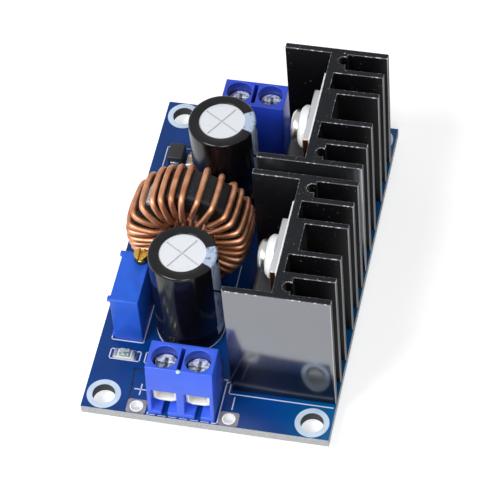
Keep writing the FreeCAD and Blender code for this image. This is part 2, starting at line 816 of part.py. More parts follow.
def terminal_housing(name, x, y, turn):
    """Moulded block with sloping brows, wire mouths, screw wells and a middle slot."""
    body = new_body("Terminal")
    profile = new_sketch(body, "YZ_Plane")
    add_outline(profile, [
        ("0 - terminal_front", "0"), ("terminal_back", "0"), ("terminal_back", "terminal_brow_height"),
        ("terminal_top_back", "terminal_height"), ("0 - terminal_top_front", "terminal_height"),
        ("0 - terminal_brow_front", "terminal_brow_height"),
    ])
    pad(body, profile, "terminal_width", both_ways=True)
    mouths = new_sketch(body, "XZ_Plane")
    chambers = new_sketch(body, "XY_Plane")
    wells = new_sketch(body, "XY_Plane")
    necks = new_sketch(body, "XY_Plane")
    notches = new_sketch(body, "XY_Plane")
    pins = new_sketch(body, "XY_Plane")
    wide = "(cage_width / 2 + 2 * clamp_gap)"
    nick = "terminal_notch / 2"
    front = "0 - terminal_front - terminal_notch"
    back = "terminal_notch_depth - terminal_front"
    chamber_front = "terminal_brow - terminal_brow_front"
    for side in (-1, 1):
        middle = f"{side} * terminal_pitch / 2"
        add_outline(mouths, [
            (f"{middle} - {wide}", "terminal_floor"), (f"{middle} + {wide}", "terminal_floor"),
            (f"{middle} + {wide}", "terminal_brow_height"), (f"{middle} - {wide}", "terminal_brow_height"),
        ])
        add_outline(chambers, [
            (f"{middle} - {wide}", chamber_front), (f"{middle} + {wide}", chamber_front),
            (f"{middle} + {wide}", f"{chamber_front} + terminal_chamber"),
            (f"{middle} - {wide}", f"{chamber_front} + terminal_chamber"),
        ])
        add_outline(notches, [
            (f"{middle} - {nick}", front), (f"{middle} + {nick}", front),
            (f"{middle} + {nick}", back), (f"{middle} - {nick}", back),
        ])
        add_circle(wells, middle, "0", "terminal_well")
        add_circle(necks, middle, "0", "clamp_screw + 4 * clamp_gap")
        add_circle(pins, middle, CONTACT_PIN_Y, "contact_pin * sqrt(2)")
    chambers.setExpression("AttachmentOffset.Base.z", formula("terminal_ceiling"))
    wells.setExpression("AttachmentOffset.Base.z", formula("terminal_ceiling + terminal_shelf"))
    necks.setExpression("AttachmentOffset.Base.z", formula("terminal_ceiling - terminal_shelf"))
    pocket(body, mouths, "terminal_front", reverse=True)
    pocket(body, chambers, "terminal_ceiling - terminal_floor")
    pocket(body, wells, reverse=True)
    pocket(body, necks, "terminal_ceiling", reverse=True)
    pocket(body, notches, "terminal_floor", reverse=True)
    pocket(body, pins, "terminal_floor", reverse=True)
    slot = new_sketch(body, "XY_Plane")
    wide = "terminal_slot_width / 2"
    long = "terminal_slot_length / 2"
    add_outline(slot, [(f"-{wide}", f"-{long}"), (wide, f"-{long}"), (wide, long), (f"-{wide}", long)])
    slot.setExpression("AttachmentOffset.Base.z", formula("terminal_height - terminal_slot_depth"))
    pocket(body, slot, reverse=True)
    keep(place(body, x, y, BOARD_TOP, turn), f"{name}_terminal_housing")


def clamp_cage():
    """Rising cage: a loop of sheet steel with a bowed floor and a tapped roof."""
    body = new_body("Cage")
    front = new_sketch(body, "XZ_Plane")
    half = "cage_width / 2"
    add_outline(front, [
        (f"-{half}", "cage_bow"), (f"-{half} / 2", "0"), (f"{half} / 2", "0"), (half, "cage_bow"),
        (half, "cage_height"), (f"-{half}", "cage_height"),
    ])
    inner = f"({half} - cage_wall)"
    add_outline(front, [
        (f"-{inner}", "cage_bow + cage_wall"), (f"-{half} / 2", "cage_wall"),
        (f"{half} / 2", "cage_wall"), (inner, "cage_bow + cage_wall"),
        (inner, "cage_height - cage_top"), (f"-{inner}", "cage_height - cage_top"),
    ])
    pad(body, front, "cage_length", both_ways=True)
    thread = new_sketch(body, "XY_Plane")
    add_circle(thread, "0", "cage_advance", "clamp_screw + 2 * clamp_gap")
    thread.setExpression("AttachmentOffset.Base.z", formula("cage_height / 2"))
    pocket(body, thread, reverse=True)
    return body


def clamp_screw():
    """Slotted clamp screw that hangs on the shelf of its well, drawn from its tip up."""
    shank = "(terminal_ceiling + terminal_shelf - contact_level - contact_thickness)"
    body = turned("Clamp", [
        ("0", "clamp_gap"), ("clamp_screw / 2", "clamp_gap"), ("clamp_screw / 2", f"{shank} + clamp_gap"),
        ("clamp_head / 2", f"{shank} + clamp_gap"), ("clamp_head / 2", f"{shank} + clamp_head_height"),
        ("0", f"{shank} + clamp_head_height"),
    ])
    slot = new_sketch(body, "XY_Plane")
    add_outline(slot, [
        ("-clamp_head", "-clamp_slot / 2"), ("clamp_head", "-clamp_slot / 2"),
        ("clamp_head", "clamp_slot / 2"), ("-clamp_head", "clamp_slot / 2"),
    ])
    slot.setExpression(
        "AttachmentOffset.Base.z", formula(f"{shank} + clamp_head_height - clamp_slot_depth")
    )
    pocket(body, slot, reverse=True)
    return body


def contact():
    """Bent strip that the wire is clamped against, with its solder pin at the back."""
    body = new_body("Contact")
    side = new_sketch(body, "YZ_Plane")
    top = "contact_level + contact_thickness"
    add_outline(side, [
        ("-contact_front", "contact_level"), ("contact_back - contact_thickness", "contact_level"),
        ("contact_back - contact_thickness", "terminal_floor"), ("contact_back", "terminal_floor"),
        ("contact_back", top), ("-contact_front", top),
    ])
    pad(body, side, "contact_width", both_ways=True)
    pin = new_sketch(body, "YZ_Plane")
    add_outline(pin, [
        ("contact_back - contact_thickness", "0 - board_thickness - lead_tail"),
        ("contact_back", "0 - board_thickness - lead_tail"), ("contact_back", "terminal_floor"),
        ("contact_back - contact_thickness", "terminal_floor"),
    ])
    pad(body, pin, "contact_pin", both_ways=True)
    return body


def screw_terminal(name, x, y, end):
    """One two-way terminal with its contacts, rising cages and clamp screws."""
    turn = 0 if end < 0 else 180
    terminal_housing(name, x, y, turn)
    contacts = []
    for side, hand in ((-1, "left"), (1, "right")):
        middle = f"{x} + {side} * terminal_pitch / 2"
        contacts.append(place(contact(), middle, y, BOARD_TOP, turn))
        cage = place(clamp_cage(), middle, f"{y} + {end} * cage_advance", f"{BOARD_TOP} + cage_level", turn)
        keep(cage, f"{name}_{hand}_clamp_cage")
        screw = place(clamp_screw(), middle, y, f"{BOARD_TOP} + contact_level + contact_thickness")
        keep(screw, f"{name}_{hand}_clamp_screw")
    keep(group(*contacts), f"{name}_terminal_contacts")


# Multi-turn trimmer

def trimmer():
    """Sealed trimmer: moulded case, base, lead screw, seal ring, carriage, element and pins."""
    body = new_body("Trimmer")
    outline = new_sketch(body, "XY_Plane")
    wide = "trimmer_width / 2"
    long = "trimmer_length / 2"
    add_outline(outline, [(f"-{wide}", f"-{long}"), (wide, f"-{long}"), (wide, long), (f"-{wide}", long)])
    pad(body, outline, "trimmer_height")
    inside = new_sketch(body, "XY_Plane")
    wide = "(trimmer_width / 2 - trimmer_wall)"
    long = "(trimmer_length / 2 - trimmer_wall)"
    add_outline(inside, [(f"-{wide}", f"-{long}"), (wide, f"-{long}"), (wide, long), (f"-{wide}", long)])
    pocket(body, inside, "trimmer_height - trimmer_wall", reverse=True)
    bore = new_sketch(body, "XY_Plane")
    away = "trimmer_screw_edge"
    wide = "trimmer_spindle + 2 * trimmer_gap"
    add_circle(bore, f"trimmer_width / 2 - {away}", f"trimmer_length / 2 - {away}", wide)
    pocket(body, bore, reverse=True)
    case = place(body, TRIMMER_X, TRIMMER_Y, BOARD_TOP)
    left = f"{TRIMMER_X} - trimmer_width / 2 - trimmer_lug"
    lugs = [
        box(left,
            f"{TRIMMER_Y} + {end} * (trimmer_length - trimmer_lug_length) / 2 - trimmer_lug_length / 2",
            f"{BOARD_TOP} + {low}", "trimmer_lug + trimmer_wall", "trimmer_lug_length",
            "trimmer_lug_height")
        for end in (-1, 1)
        for low in ("trimmer_height - trimmer_lug_height", "trimmer_lug_height")
    ]
    keep(fuse(case, *lugs), "trimmer_case")

    inner_x = f"{TRIMMER_X} - trimmer_width / 2 + trimmer_wall"
    inner_y = f"{TRIMMER_Y} - trimmer_length / 2 + trimmer_wall"
    floor = box(inner_x, inner_y, f"{BOARD_TOP} + trimmer_base_low", "trimmer_width - 2 * trimmer_wall",
                "trimmer_length - 2 * trimmer_wall", "trimmer_base")
    pins = [
        box(TRIMMER_PIN_X + " - trimmer_pin / 2",
            f"{TRIMMER_Y} + {i} * trimmer_pin_pitch - trimmer_pin / 2",
            "-lead_tail", "trimmer_pin", "trimmer_pin",
            f"{TAIL_LENGTH} + trimmer_base_low + trimmer_base + trimmer_pin_rise")
        for i in (-1, 0, 1)
    ]
    holes = [
        box(TRIMMER_PIN_X + " - trimmer_pin / 2",
            f"{TRIMMER_Y} + {i} * trimmer_pin_pitch - trimmer_pin / 2",
            BOARD_TOP, "trimmer_pin", "trimmer_pin", "trimmer_height / 2")
        for i in (-1, 0, 1)
    ]
    keep(cut(floor, *holes), "trimmer_base")
    keep(group(*pins), "trimmer_pins")
    inside_z = f"{BOARD_TOP} + trimmer_base_low + trimmer_base"
    plate = box(inner_x, f"{TRIMMER_Y} - trimmer_plate_length / 2", inside_z, "trimmer_plate",
                "trimmer_plate_length", "trimmer_plate_height")
    keep(plate, "trimmer_element")

    top = "(trimmer_height - trimmer_base_low - trimmer_base)"
    screw = turned("Adjuster", [
        ("0", "trimmer_gap"), ("trimmer_spindle / 2", "trimmer_gap"),
        ("trimmer_spindle / 2", f"{top} + trimmer_ring_height"),
        ("trimmer_screw_head / 2", f"{top} + trimmer_ring_height"),
        ("trimmer_screw_head / 2", f"{top} + trimmer_screw_rise"), ("0", f"{top} + trimmer_screw_rise"),
    ])
    slot = new_sketch(screw, "XY_Plane")
    add_outline(slot, [
        ("-trimmer_screw_slot / 2", "-trimmer_screw_head"),
        ("trimmer_screw_slot / 2", "-trimmer_screw_head"),
        ("trimmer_screw_slot / 2", "trimmer_screw_head"), ("-trimmer_screw_slot / 2", "trimmer_screw_head"),
    ])
    slot.setExpression(
        "AttachmentOffset.Base.z", formula(f"{top} + trimmer_screw_rise - trimmer_slot_depth")
    )
    pocket(screw, slot, reverse=True)
    keep(place(screw, SPINDLE_X, SPINDLE_Y, inside_z), "trimmer_adjuster_screw")
    ring = cut(
        cylinder(SPINDLE_X, SPINDLE_Y, f"{BOARD_TOP} + trimmer_height", "trimmer_ring",
            "trimmer_ring_height"),
        cylinder(SPINDLE_X, SPINDLE_Y, BOARD_TOP, "trimmer_spindle + 2 * trimmer_gap",
            "2 * trimmer_height"),
    )
    keep(ring, "trimmer_seal_ring")
    carriage_width = "trimmer_width - 2 * trimmer_wall - trimmer_plate - 2 * trimmer_gap"
    carriage = cut(
        box(f"{ELEMENT_FACE} + trimmer_gap", f"{SPINDLE_Y} - carriage_length / 2",
            f"{BOARD_TOP} + carriage_level",
            carriage_width, "carriage_length / 2 + trimmer_screw_edge - trimmer_wall - trimmer_gap",
            "carriage_height"),
        cylinder(SPINDLE_X, SPINDLE_Y, BOARD_TOP, "trimmer_spindle + 2 * trimmer_gap", "trimmer_height"),
    )
    keep(carriage, "trimmer_carriage")


# Small surface parts

def diode():
    """Moulded protection diode on two bent sheet leads."""
    body = box(f"{DIODE_X} - diode_width / 2", f"{DIODE_Y} - diode_length / 2",
        f"{BOARD_TOP} + diode_lead_sheet",
               "diode_width", "diode_length", "diode_height - diode_lead_sheet")
    keep(body, "input_diode_body")
    leads = []
    for end in (-1, 1):
        lead = new_body("DiodeLead")
        side = new_sketch(lead, "YZ_Plane")
        edge = "diode_length / 2"
        sheet_edge = f"{edge} + diode_lead_sheet"
        add_outline(side, [
            (f"{end} * ({edge} - diode_foot)", "0"), (f"{end} * ({sheet_edge})", "0"),
            (f"{end} * ({sheet_edge})", "diode_lead_height"), (f"{end} * {edge}", "diode_lead_height"),
            (f"{end} * {edge}", "diode_lead_sheet"), (f"{end} * ({edge} - diode_foot)", "diode_lead_sheet"),
        ])
        pad(lead, side, "diode_lead_width", both_ways=True)
        leads.append(place(lead, DIODE_X, DIODE_Y, BOARD_TOP))
    keep(group(*leads), "input_diode_leads")


def chip(x, y, label, turn=0):
    """Chip part whose metal end caps stand slightly proud of its body."""
    body = new_body("Chip")
    side = new_sketch(body, "XZ_Plane")
    long = "(chip_length / 2)"
    add_outline(side, [
        (f"-{long}", "0"), (f"chip_end - {long}", "0"), (f"chip_end - {long}", "chip_cap"),
        (f"{long} - chip_end", "chip_cap"), (f"{long} - chip_end", "0"), (long, "0"),
        (long, "chip_height"), (f"{long} - chip_end", "chip_height"),
        (f"{long} - chip_end", "chip_height - chip_cap"), (f"chip_end - {long}", "chip_height - chip_cap"),
        (f"chip_end - {long}", "chip_height"), (f"-{long}", "chip_height"),
    ])
    pad(body, side, "chip_width", both_ways=True)
    keep(place(body, x, y, BOARD_TOP, turn), label)


def indicator():
    """Chip lamp: a flat base with a clear lens block."""
    low_x = f"{LED_X} - led_length / 2"
    low_y = f"{LED_Y} - led_width / 2"
    base = box(low_x, low_y, BOARD_TOP, "led_length", "led_width", "led_base")
    keep(base, "indicator_led_base")
    lens = new_body("Lens")
    side = new_sketch(lens, "XZ_Plane")
    long = "(led_lens_length / 2)"
    add_outline(side, [
        (f"-{long}", "0"), (long, "0"), (f"{long} - led_lens_height / 3", "led_lens_height"),
        (f"led_lens_height / 3 - {long}", "led_lens_height"),
    ])
    pad(lens, side, "led_lens_width", both_ways=True)
    keep(place(lens, LED_X, LED_Y, f"{BOARD_TOP} + led_base"), "indicator_led_lens")


# Solder

def solder_cone(x, y, tool, width):
    """Eight-sided cone of solder under the board, with the lead's own section left out."""
    rings = []
    for z, reach in (("0", "solder_land"), ("-solder_height", "solder_land / 4")):
        ring = doc.addObject("Part::RegularPolygon", "Ring")
        ring.Polygon = SOLDER_SIDES
        bind(ring, Circumradius=f"({width}) / 2 + {reach}")
        rings.append(place(ring, x, y, z))
    cone = doc.addObject("Part::Loft", "Cone")
    cone.Sections = rings
    cone.Solid = True
    cone.Ruled = True
    return cut(cone, tool)


def solder_joints():
    """A solder cone round every lead that comes through the board."""
    cones = []
    for holes, width in (
        (SINK_PIN_HOLES, "sink_pin"),
        (CAP_HOLES, "cap_lead"),
        ([(str(point.x), str(point.y)) for point in COIL_LEAD_POINTS], "coil_wire"),
    ):
        for x, y in holes:
            tool = cylinder(x, y, "-lead_tail", width, "2 * lead_tail")
            cones.append(solder_cone(x, y, tool, width))
    for holes, wide, long in (
        (REGULATOR_HOLES + RECTIFIER_HOLES, "lead_thickness", "lead_width"),
        (TERMINAL_HOLES, "contact_pin", "contact_thickness"),
        (TRIMMER_HOLES, "trimmer_pin", "trimmer_pin"),
    ):
        for x, y in holes:
            tool = box(f"{x} - {wide} / 2", f"{y} - {long} / 2", "-lead_tail", wide, long, "2 * lead_tail")
            cones.append(solder_cone(x, y, tool, f"({wide} + {long}) / 2"))
    keep(group(*cones), "solder_joints")


circuit_board()
for sink_name, sink_place in SINKS.items():
    heatsink(sink_name, sink_place)
    heatsink_pins(sink_name, sink_place)
power_package("rectifier", SINKS["output"], RECTIFIER_LEADS)
power_package("regulator", SINKS["input"], REGULATOR_LEADS)
toroid_core()
inductor_winding()
for cap_name, (cap_x, cap_y) in CAPS.items():
    capacitor(cap_name, cap_x, cap_y)
for terminal_name, (terminal_x, terminal_y, terminal_end) in TERMINALS.items():
    screw_terminal(terminal_name, terminal_x, terminal_y, terminal_end)
trimmer()
diode()
indicator()
chip(from_left("led_resistor_edge"), LED_Y, "led_resistor")
chip(from_left("input_chip_edge"), from_back("input_chip_end"), "input_chip_capacitor", turn=90)
chip(from_left("feedback_edge"), from_back("feedback_end"), "feedback_resistor", turn=90)
chip(from_left("feedback_edge"), from_back("control_end"), "control_capacitor", turn=90)
solder_joints()

doc.recompute()
failed = [item.Label for item in doc.Objects if "Invalid" in item.State or "Error" in item.State]
broken = [item.Label for item in kept if item.Shape.isNull() or not item.Shape.isValid()]
if failed or broken:
    raise RuntimeError(f"failed: {failed}, broken: {broken}")
os.makedirs("parts", exist_ok=True)
for item in kept:
    item.Shape.exportStep(os.path.join("parts", f"{item.Label}.step"))
    print(item.Label, len(item.Shape.Solids), round(item.Shape.Volume, 2))
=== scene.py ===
"""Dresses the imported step-down converter module and sets up its studio picture.

Sizes are in millimetres in the module's own frame: the origin is the middle of the four
mounting holes on the board's underside, +Z points up, +Y to the input terminal and +X to
the finned heatsinks. Finished pieces are turned into metres.
"""

from __future__ import annotations

import functools
import itertools
import json
import logging
import math
from collections.abc import Callable, Iterable, Sequence
from dataclasses import dataclass
from enum import Enum

import bmesh
import bpy
from mathutils import Matrix, Vector

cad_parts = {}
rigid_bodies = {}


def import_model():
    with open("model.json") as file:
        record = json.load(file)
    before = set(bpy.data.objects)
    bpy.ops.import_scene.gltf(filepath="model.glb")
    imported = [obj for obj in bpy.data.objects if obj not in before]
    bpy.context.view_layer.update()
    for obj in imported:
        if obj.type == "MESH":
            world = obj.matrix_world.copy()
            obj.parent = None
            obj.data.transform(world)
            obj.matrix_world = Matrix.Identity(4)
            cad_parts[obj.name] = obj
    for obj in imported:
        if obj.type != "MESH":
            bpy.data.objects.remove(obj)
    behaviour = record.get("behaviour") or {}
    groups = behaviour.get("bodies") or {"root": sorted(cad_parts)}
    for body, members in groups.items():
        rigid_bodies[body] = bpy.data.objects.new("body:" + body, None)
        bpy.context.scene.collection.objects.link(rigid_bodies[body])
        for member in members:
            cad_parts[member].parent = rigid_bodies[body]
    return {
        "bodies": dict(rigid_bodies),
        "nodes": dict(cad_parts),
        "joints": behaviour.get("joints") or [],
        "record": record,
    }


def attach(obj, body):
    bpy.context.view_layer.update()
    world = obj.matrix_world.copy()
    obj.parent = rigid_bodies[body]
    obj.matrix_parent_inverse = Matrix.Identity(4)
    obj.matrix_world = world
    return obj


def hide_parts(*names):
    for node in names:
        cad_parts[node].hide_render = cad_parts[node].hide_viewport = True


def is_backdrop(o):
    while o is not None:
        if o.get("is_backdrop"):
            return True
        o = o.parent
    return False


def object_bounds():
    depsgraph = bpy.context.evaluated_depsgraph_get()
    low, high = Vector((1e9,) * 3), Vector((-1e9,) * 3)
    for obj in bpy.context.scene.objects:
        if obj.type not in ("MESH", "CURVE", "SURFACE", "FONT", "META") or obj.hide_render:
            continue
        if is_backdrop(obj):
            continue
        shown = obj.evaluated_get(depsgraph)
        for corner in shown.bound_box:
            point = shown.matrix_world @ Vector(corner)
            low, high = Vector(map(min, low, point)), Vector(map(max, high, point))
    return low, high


LOG = logging.getLogger("converter")
MM = 0.001

Spot = tuple[float, float, float]
Colour = Spot
Place = tuple[float, float]
Shape = bmesh.types.BMesh
Material = bpy.types.Material
Sockets = dict[str, object]

SHARP_EDGE = math.radians(32.0)
RING_LIFT = 0.03
INK_LIFT = 0.02
BOARD_TOP = 1.6
TERMINAL_PITCH = 5.08
SINKS: dict[str, float] = {"output": -12.7, "input": 12.54}
CAPACITORS: dict[str, Place] = {"output": (-5.65, -13.15), "input": (-5.2, 12.8)}
TERMINALS: dict[str, Place] = {"output": (-3.5, -26.35), "input": (-3.2, 26.0)}


class Slot(Enum):
    """Material slots of the record that the finishes are filed under."""

    BOARD = "solder_mask"
    HEATSINK = "black_aluminium"
    PLATING = "bright_plating"
    EPOXY = "black_epoxy"
    PAD = "white_pad"
    NYLON = "white_nylon"
    SCREW = "zinc_screw"
    CORE = "core_coating"
    WIRE = "enamelled_copper"
    CAN = "can_aluminium"
    SLEEVE = "black_sleeve"
    RUBBER = "black_rubber"
    TERMINAL = "blue_moulding"
    TRIMMER = "trimmer_blue"
    GREY = "grey_plastic"
    CERAMIC = "ceramic"
    BRASS = "brass"
    LENS = "clear_lens"
    CHIP = "chip_black"
    CHIP_TAN = "chip_tan"
    TINNED = "tinned_metal"


def tint(red: int, green: int, blue: int) -> Colour:
    """Turn screen colour levels into the linear values that a shader takes.

    Args:
        red: Red level from 0 to 255.
        green: Green level from 0 to 255.
        blue: Blue level from 0 to 255.

    Returns:
        The linear colour.
    """

    def linear(level: int) -> float:
        """Undo the screen curve for one level."""
        share = level / 255
        return share / 12.92 if share <= 0.04045 else ((share + 0.055) / 1.055) ** 2.4

    return linear(red), linear(green), linear(blue)


def operation(kind: str, flipped: bool = False) -> Callable[[Value, Term], Value]:
    """Make the method of a sign such as +, flipped where the other term comes first."""

    def method(self: Value, other: Term) -> Value:
        """Combine this with another term."""
        return self.maths(kind, *((other, self) if flipped else (self, other)))

    return method


class Value:
    """One output of a shader node that takes part in arithmetic; > and < give 1 or 0."""

    def __init__(self, graph: Graph, socket: bpy.types.NodeSocket) -> None:
        """Keep the socket and the graph that it belongs to."""
        self.graph = graph
        self.socket = socket

    def maths(self, kind: str, *terms: Term) -> Value:
        """Add a Math node on one or two terms."""
        return self.graph.add("ShaderNodeMath", {"operation": kind}, dict(enumerate(terms)))

    __add__ = operation("ADD")
    __radd__ = operation("ADD", flipped=True)
    __sub__ = operation("SUBTRACT")
    __rsub__ = operation("SUBTRACT", flipped=True)
    __mul__ = operation("MULTIPLY")
    __rmul__ = operation("MULTIPLY", flipped=True)
    __gt__ = operation("GREATER_THAN")
    __lt__ = operation("LESS_THAN")

    def __abs__(self) -> Value:
        """Drop the sign."""
        return self.maths("ABSOLUTE", self)


Term = Value | float


class Graph:
    """Node tree of a material or the world, with the few patterns that the finishes share."""

    def __init__(self, owner: Material | bpy.types.World) -> None:
        """Start the owner's nodes afresh."""
        self.owner = owner
        owner.use_nodes = True
        self.tree = owner.node_tree
        self.tree.nodes.clear()

    def add(
        self,
        kind: str,
        settings: dict[str, object] | None = None,
        inputs: dict[str | int, object] | None = None,
        output: str | int = 0,
    ) -> Value:
        """Add a node.

        Args:
            kind: The node's type.
            settings: Its own settings, set first.
            inputs: Values or links for its sockets, by name or number.
            output: Name or number of the output to return.

        Returns:
            The chosen output.
        """
        node = self.tree.nodes.new(kind)
        for name, setting in (settings or {}).items():
            setattr(node, name, setting)
        for name, value in (inputs or {}).items():
            socket = self.pick(node.inputs, name)
            if isinstance(value, Value):
                self.tree.links.new(value.socket, socket)
            elif socket.type == "RGBA":
                socket.default_value = (*value, 1.0)
            else:
                socket.default_value = value
        return Value(self, self.pick(node.outputs, output)) if node.outputs else Value(self, None)

    @staticmethod
    def pick(sockets: Sequence[bpy.types.NodeSocket], name: str | int) -> bpy.types.NodeSocket:
        """Find a socket that is in use, by its name or number."""
        usable = [socket for socket in sockets if socket.enabled]
        return usable[name] if isinstance(name, int) else next(item for item in usable if item.name == name)

    def point(self, centre: Sequence[float] = (0, 0, 0), stretch: Sequence[float] = (1, 1, 1)) -> Value:
        """Give the place on the object in millimetres from a centre, stretched along each axis."""
        place = self.add("ShaderNodeTexCoord", output="Object")
        start = tuple(part * MM for part in centre)
        moved = self.add("ShaderNodeVectorMath", {"operation": "SUBTRACT"}, {0: place, 1: start})
        scale = tuple(part / MM for part in stretch)
        return self.add("ShaderNodeVectorMath", {"operation": "MULTIPLY"}, {0: moved, 1: scale})

    def axis(self, name: str, centre: Sequence[float] = (0, 0, 0)) -> Value:
        """Give one coordinate in millimetres from a centre."""
        return self.add("ShaderNodeSeparateXYZ", inputs={0: self.point(centre)}, output=name)

    def facing(self, name: str) -> Value:
        """Give how squarely the surface faces along one axis."""
        normal = self.add("ShaderNodeTexCoord", output="Normal")
        return self.add("ShaderNodeSeparateXYZ", inputs={0: normal}, output=name)

    def noise(self, grain: float, stretch: Sequence[float] = (1, 1, 1), detail: float = 2.0) -> Value:
        """Give soft noise whose blotches are about as wide as the grain in millimetres."""
        inputs = {"Vector": self.point(stretch=stretch), "Scale": 1 / grain, "Detail": detail}
        return self.add("ShaderNodeTexNoise", inputs=inputs, output=0)

    def window(self, value: Term, low: float, high: float) -> Value:
        """Fade from 0 to 1 as a value goes from low to high."""
        inputs = {"Value": value, "From Min": low, "From Max": high}
        return self.add("ShaderNodeMapRange", {"interpolation_type": "SMOOTHSTEP"}, inputs)

    def between(self, value: Value, low: float, high: float) -> Value:
        """Give 1 where a value is over low and under high."""
        return (value > low) * (value < high)

    def mix(self, share: Term, first: Value | Colour, second: Value | Colour) -> Value:
        """Go from one colour to another."""
        return self.add("ShaderNodeMix", {"data_type": "RGBA"}, {"Factor": share, "A": first, "B": second})

    def bump(self, height: Term, depth: float) -> Value:
        """Turn a height from 0 to 1 into a surface relief of that depth in millimetres."""
        return self.add("ShaderNodeBump", inputs={"Height": height, "Distance": depth * MM, "Strength": 1.0})


@dataclass(frozen=True)
class Finish:
    """Base of the finishes: a name and the record slot that it belongs to."""

    name: str
    slot: Slot

    def build(self) -> Material:
        """Make the material with one principled surface."""
        graph = Graph(bpy.data.materials.new(self.name))
        inputs = {name.replace("_", " "): value for name, value in self.sockets(graph).items()}
        shader = graph.add("ShaderNodeBsdfPrincipled", inputs=inputs)
        graph.add("ShaderNodeOutputMaterial", inputs={"Surface": shader})
        return graph.owner

    def sockets(self, graph: Graph) -> Sockets:
        """Give the surface's values by socket name, with underscores for spaces."""
        raise NotImplementedError


@dataclass(frozen=True)
class Moulding(Finish):
    """Moulded or cast material with a fine skin and slight mottling."""

    colour: Colour
    roughness: float = 0.4
    mottle: float = 0.12
    grain: float = 0.18
    depth: float = 0.004
    coat: float = 0.0
    soak: float = 0.0
    shine: float = 0.0

    def sockets(self, graph: Graph) -> Sockets:
        """Make the mottled, lightly grained surface."""
        skin = graph.noise(self.grain, detail=3.0)
        return dict(
            Base_Color=self.paint(graph),
            Roughness=self.roughness * (0.88 + 0.24 * skin),
            Metallic=self.shine,
            Coat_Weight=self.coat,
            Coat_Roughness=0.12,
            Subsurface_Weight=self.soak,
            Subsurface_Radius=(0.0004, 0.0006, 0.0012),
            Normal=graph.bump(skin, self.depth),
        )

    def paint(self, graph: Graph) -> Value:
        """Mix the two tones of the mottled colour."""
        deep = tuple(part * (1 - self.mottle) for part in self.colour)
        pale = tuple(min(1.0, part * (1 + self.mottle)) for part in self.colour)
        return graph.mix(graph.window(graph.noise(2.5, detail=3.0), 0.3, 0.7), deep, pale)


@dataclass(frozen=True)
class Housing(Moulding):
    """Terminal plastic with painted shade inside the screw wells and the slot."""

    middle: Place = (0.0, 0.0)
    well: float = 2.05
    gap: float = 0.45
    gap_reach: float = 2.1
    floor: float = 8.3
    rim: float = 11.5

    def paint(self, graph: Graph) -> Value:
        """Paint shade on the walls of the wells and the slot, the most at the bottom."""
        centre = (*self.middle, 0.0)
        across = abs(graph.axis("X", centre))
        along = abs(graph.axis("Y", centre))
        height = graph.axis("Z")
        aside = across - TERMINAL_PITCH / 2
        hole = (aside * aside + along * along) < self.well**2
        gap = (across < self.gap) * (along < self.gap_reach)
        # Painted shade: darkest at the floors of the wells and the slot, tint(16, 36, 118).
        inside = (hole + gap) * graph.between(height, self.floor, self.rim)
        deep = 0.92 - 0.3 * graph.window(height, self.floor, self.rim)
        return graph.mix(inside * deep, super().paint(graph), tint(16, 36, 118))


@dataclass(frozen=True)
class Metal(Finish):
    """Plain or plated metal with streaks, dulling and fine handling marks."""

    colour: Colour
    roughness: float = 0.3
    stretch: Spot = (1.0, 1.0, 1.0)
    grain: float = 0.3
    depth: float = 0.002
    dull: Colour = (0.35, 0.34, 0.32)
    dullness: float = 0.25

    def sockets(self, graph: Graph) -> Sockets:
        """Make the streaked metal."""
        streak = graph.noise(self.grain, self.stretch, 4.0)
        cloud = graph.noise(1.6, detail=2.0)
        worn = graph.window(cloud, 0.45, 0.8) * self.dullness
        return dict(
            Base_Color=graph.mix(worn, self.colour, self.dull),
            Metallic=1.0,
            Roughness=self.roughness * (0.7 + 0.6 * streak) + 0.15 * worn,
            Normal=graph.bump(streak, self.depth),
        )


@dataclass(frozen=True)
class BlackExtrusion(Finish):
    """Black anodised extrusion with die lines along Z and sawn ends."""

    middle: float = 0.0
    half: float = 11.5
    tips: float = 19.0
    top: float = 26.9
    bottom: float = 1.9

    def sockets(self, graph: Graph) -> Sockets:
        """Make the glossy outer plates with painted reflection, the matt fins, the sawn ends, and the edges with
        nicks, wear and painted highlights.
        """
        height = graph.axis("Z")
        sawn = graph.window(height, self.top - 0.1, self.top - 0.02)
        sawn = sawn + (1 - graph.window(height, self.bottom + 0.02, self.bottom + 0.1))
        lines = graph.noise(0.35, (1.0, 1.0, 0.02), 3.0)
        cloud = graph.noise(3.0, detail=3.0)
        saw = graph.noise(0.25, (1.0, 0.12, 1.0), 3.0)
        away = abs(graph.axis("Y", (0, self.middle, 0)))
        glossy = graph.window(away, self.half - 0.2, self.half - 0.1) * (1 - sawn)
        glossy = glossy * (abs(graph.facing("Y")) > 0.8)
        # Painted highlight along the top edge bevels, broken up by nicks.
        rim = graph.window(height, self.top - 0.15, self.top - 0.1) * (graph.facing("Z") < 0.93)
        nicks_and_highlight = 0.2 + 0.8 * graph.window(graph.noise(0.45, detail=6.0), 0.53, 0.62)
        across = graph.axis("X")
        # Painted highlight on the fin tip bevels.
        tip_highlight = (across > self.tips - 0.15) * (abs(graph.facing("X")) < 0.93) * (1 - sawn)
        chip = graph.window(graph.noise(0.5, detail=5.0), 0.7, 0.73) * sawn
        dust = graph.window(graph.noise(0.3, detail=2.0), 0.72, 0.76) * 0.35
        # Edge and tip highlights are painted; chips and dust are real marks. worn carries them all.
        marks = rim * nicks_and_highlight + tip_highlight * 0.55 + chip * 0.6 + dust
        worn = marks.maths("MINIMUM", marks, 1.0)
        # Painted reflection: the outer plates' reflectance rises from the bottom towards the top.
        outer = graph.mix(graph.window(height, 7.5, 11.0), tint(58, 60, 66), tint(124, 126, 131))
        skin = graph.mix(glossy, tint(4, 4, 6), outer)
        base = graph.mix(sawn, skin, graph.mix(saw, tint(12, 13, 17), tint(32, 34, 40)))
        return dict(
            Base_Color=graph.mix(worn, base, tint(198, 200, 206)),
            Metallic=0.95 * glossy,
            Roughness=0.4 - 0.3 * glossy + 0.04 * cloud + 0.05 * lines + 0.1 * sawn,
            Specular_IOR_Level=0.18,
            Normal=graph.bump(lines * (1 - sawn) * 0.3 + saw * sawn, 0.006),
        )


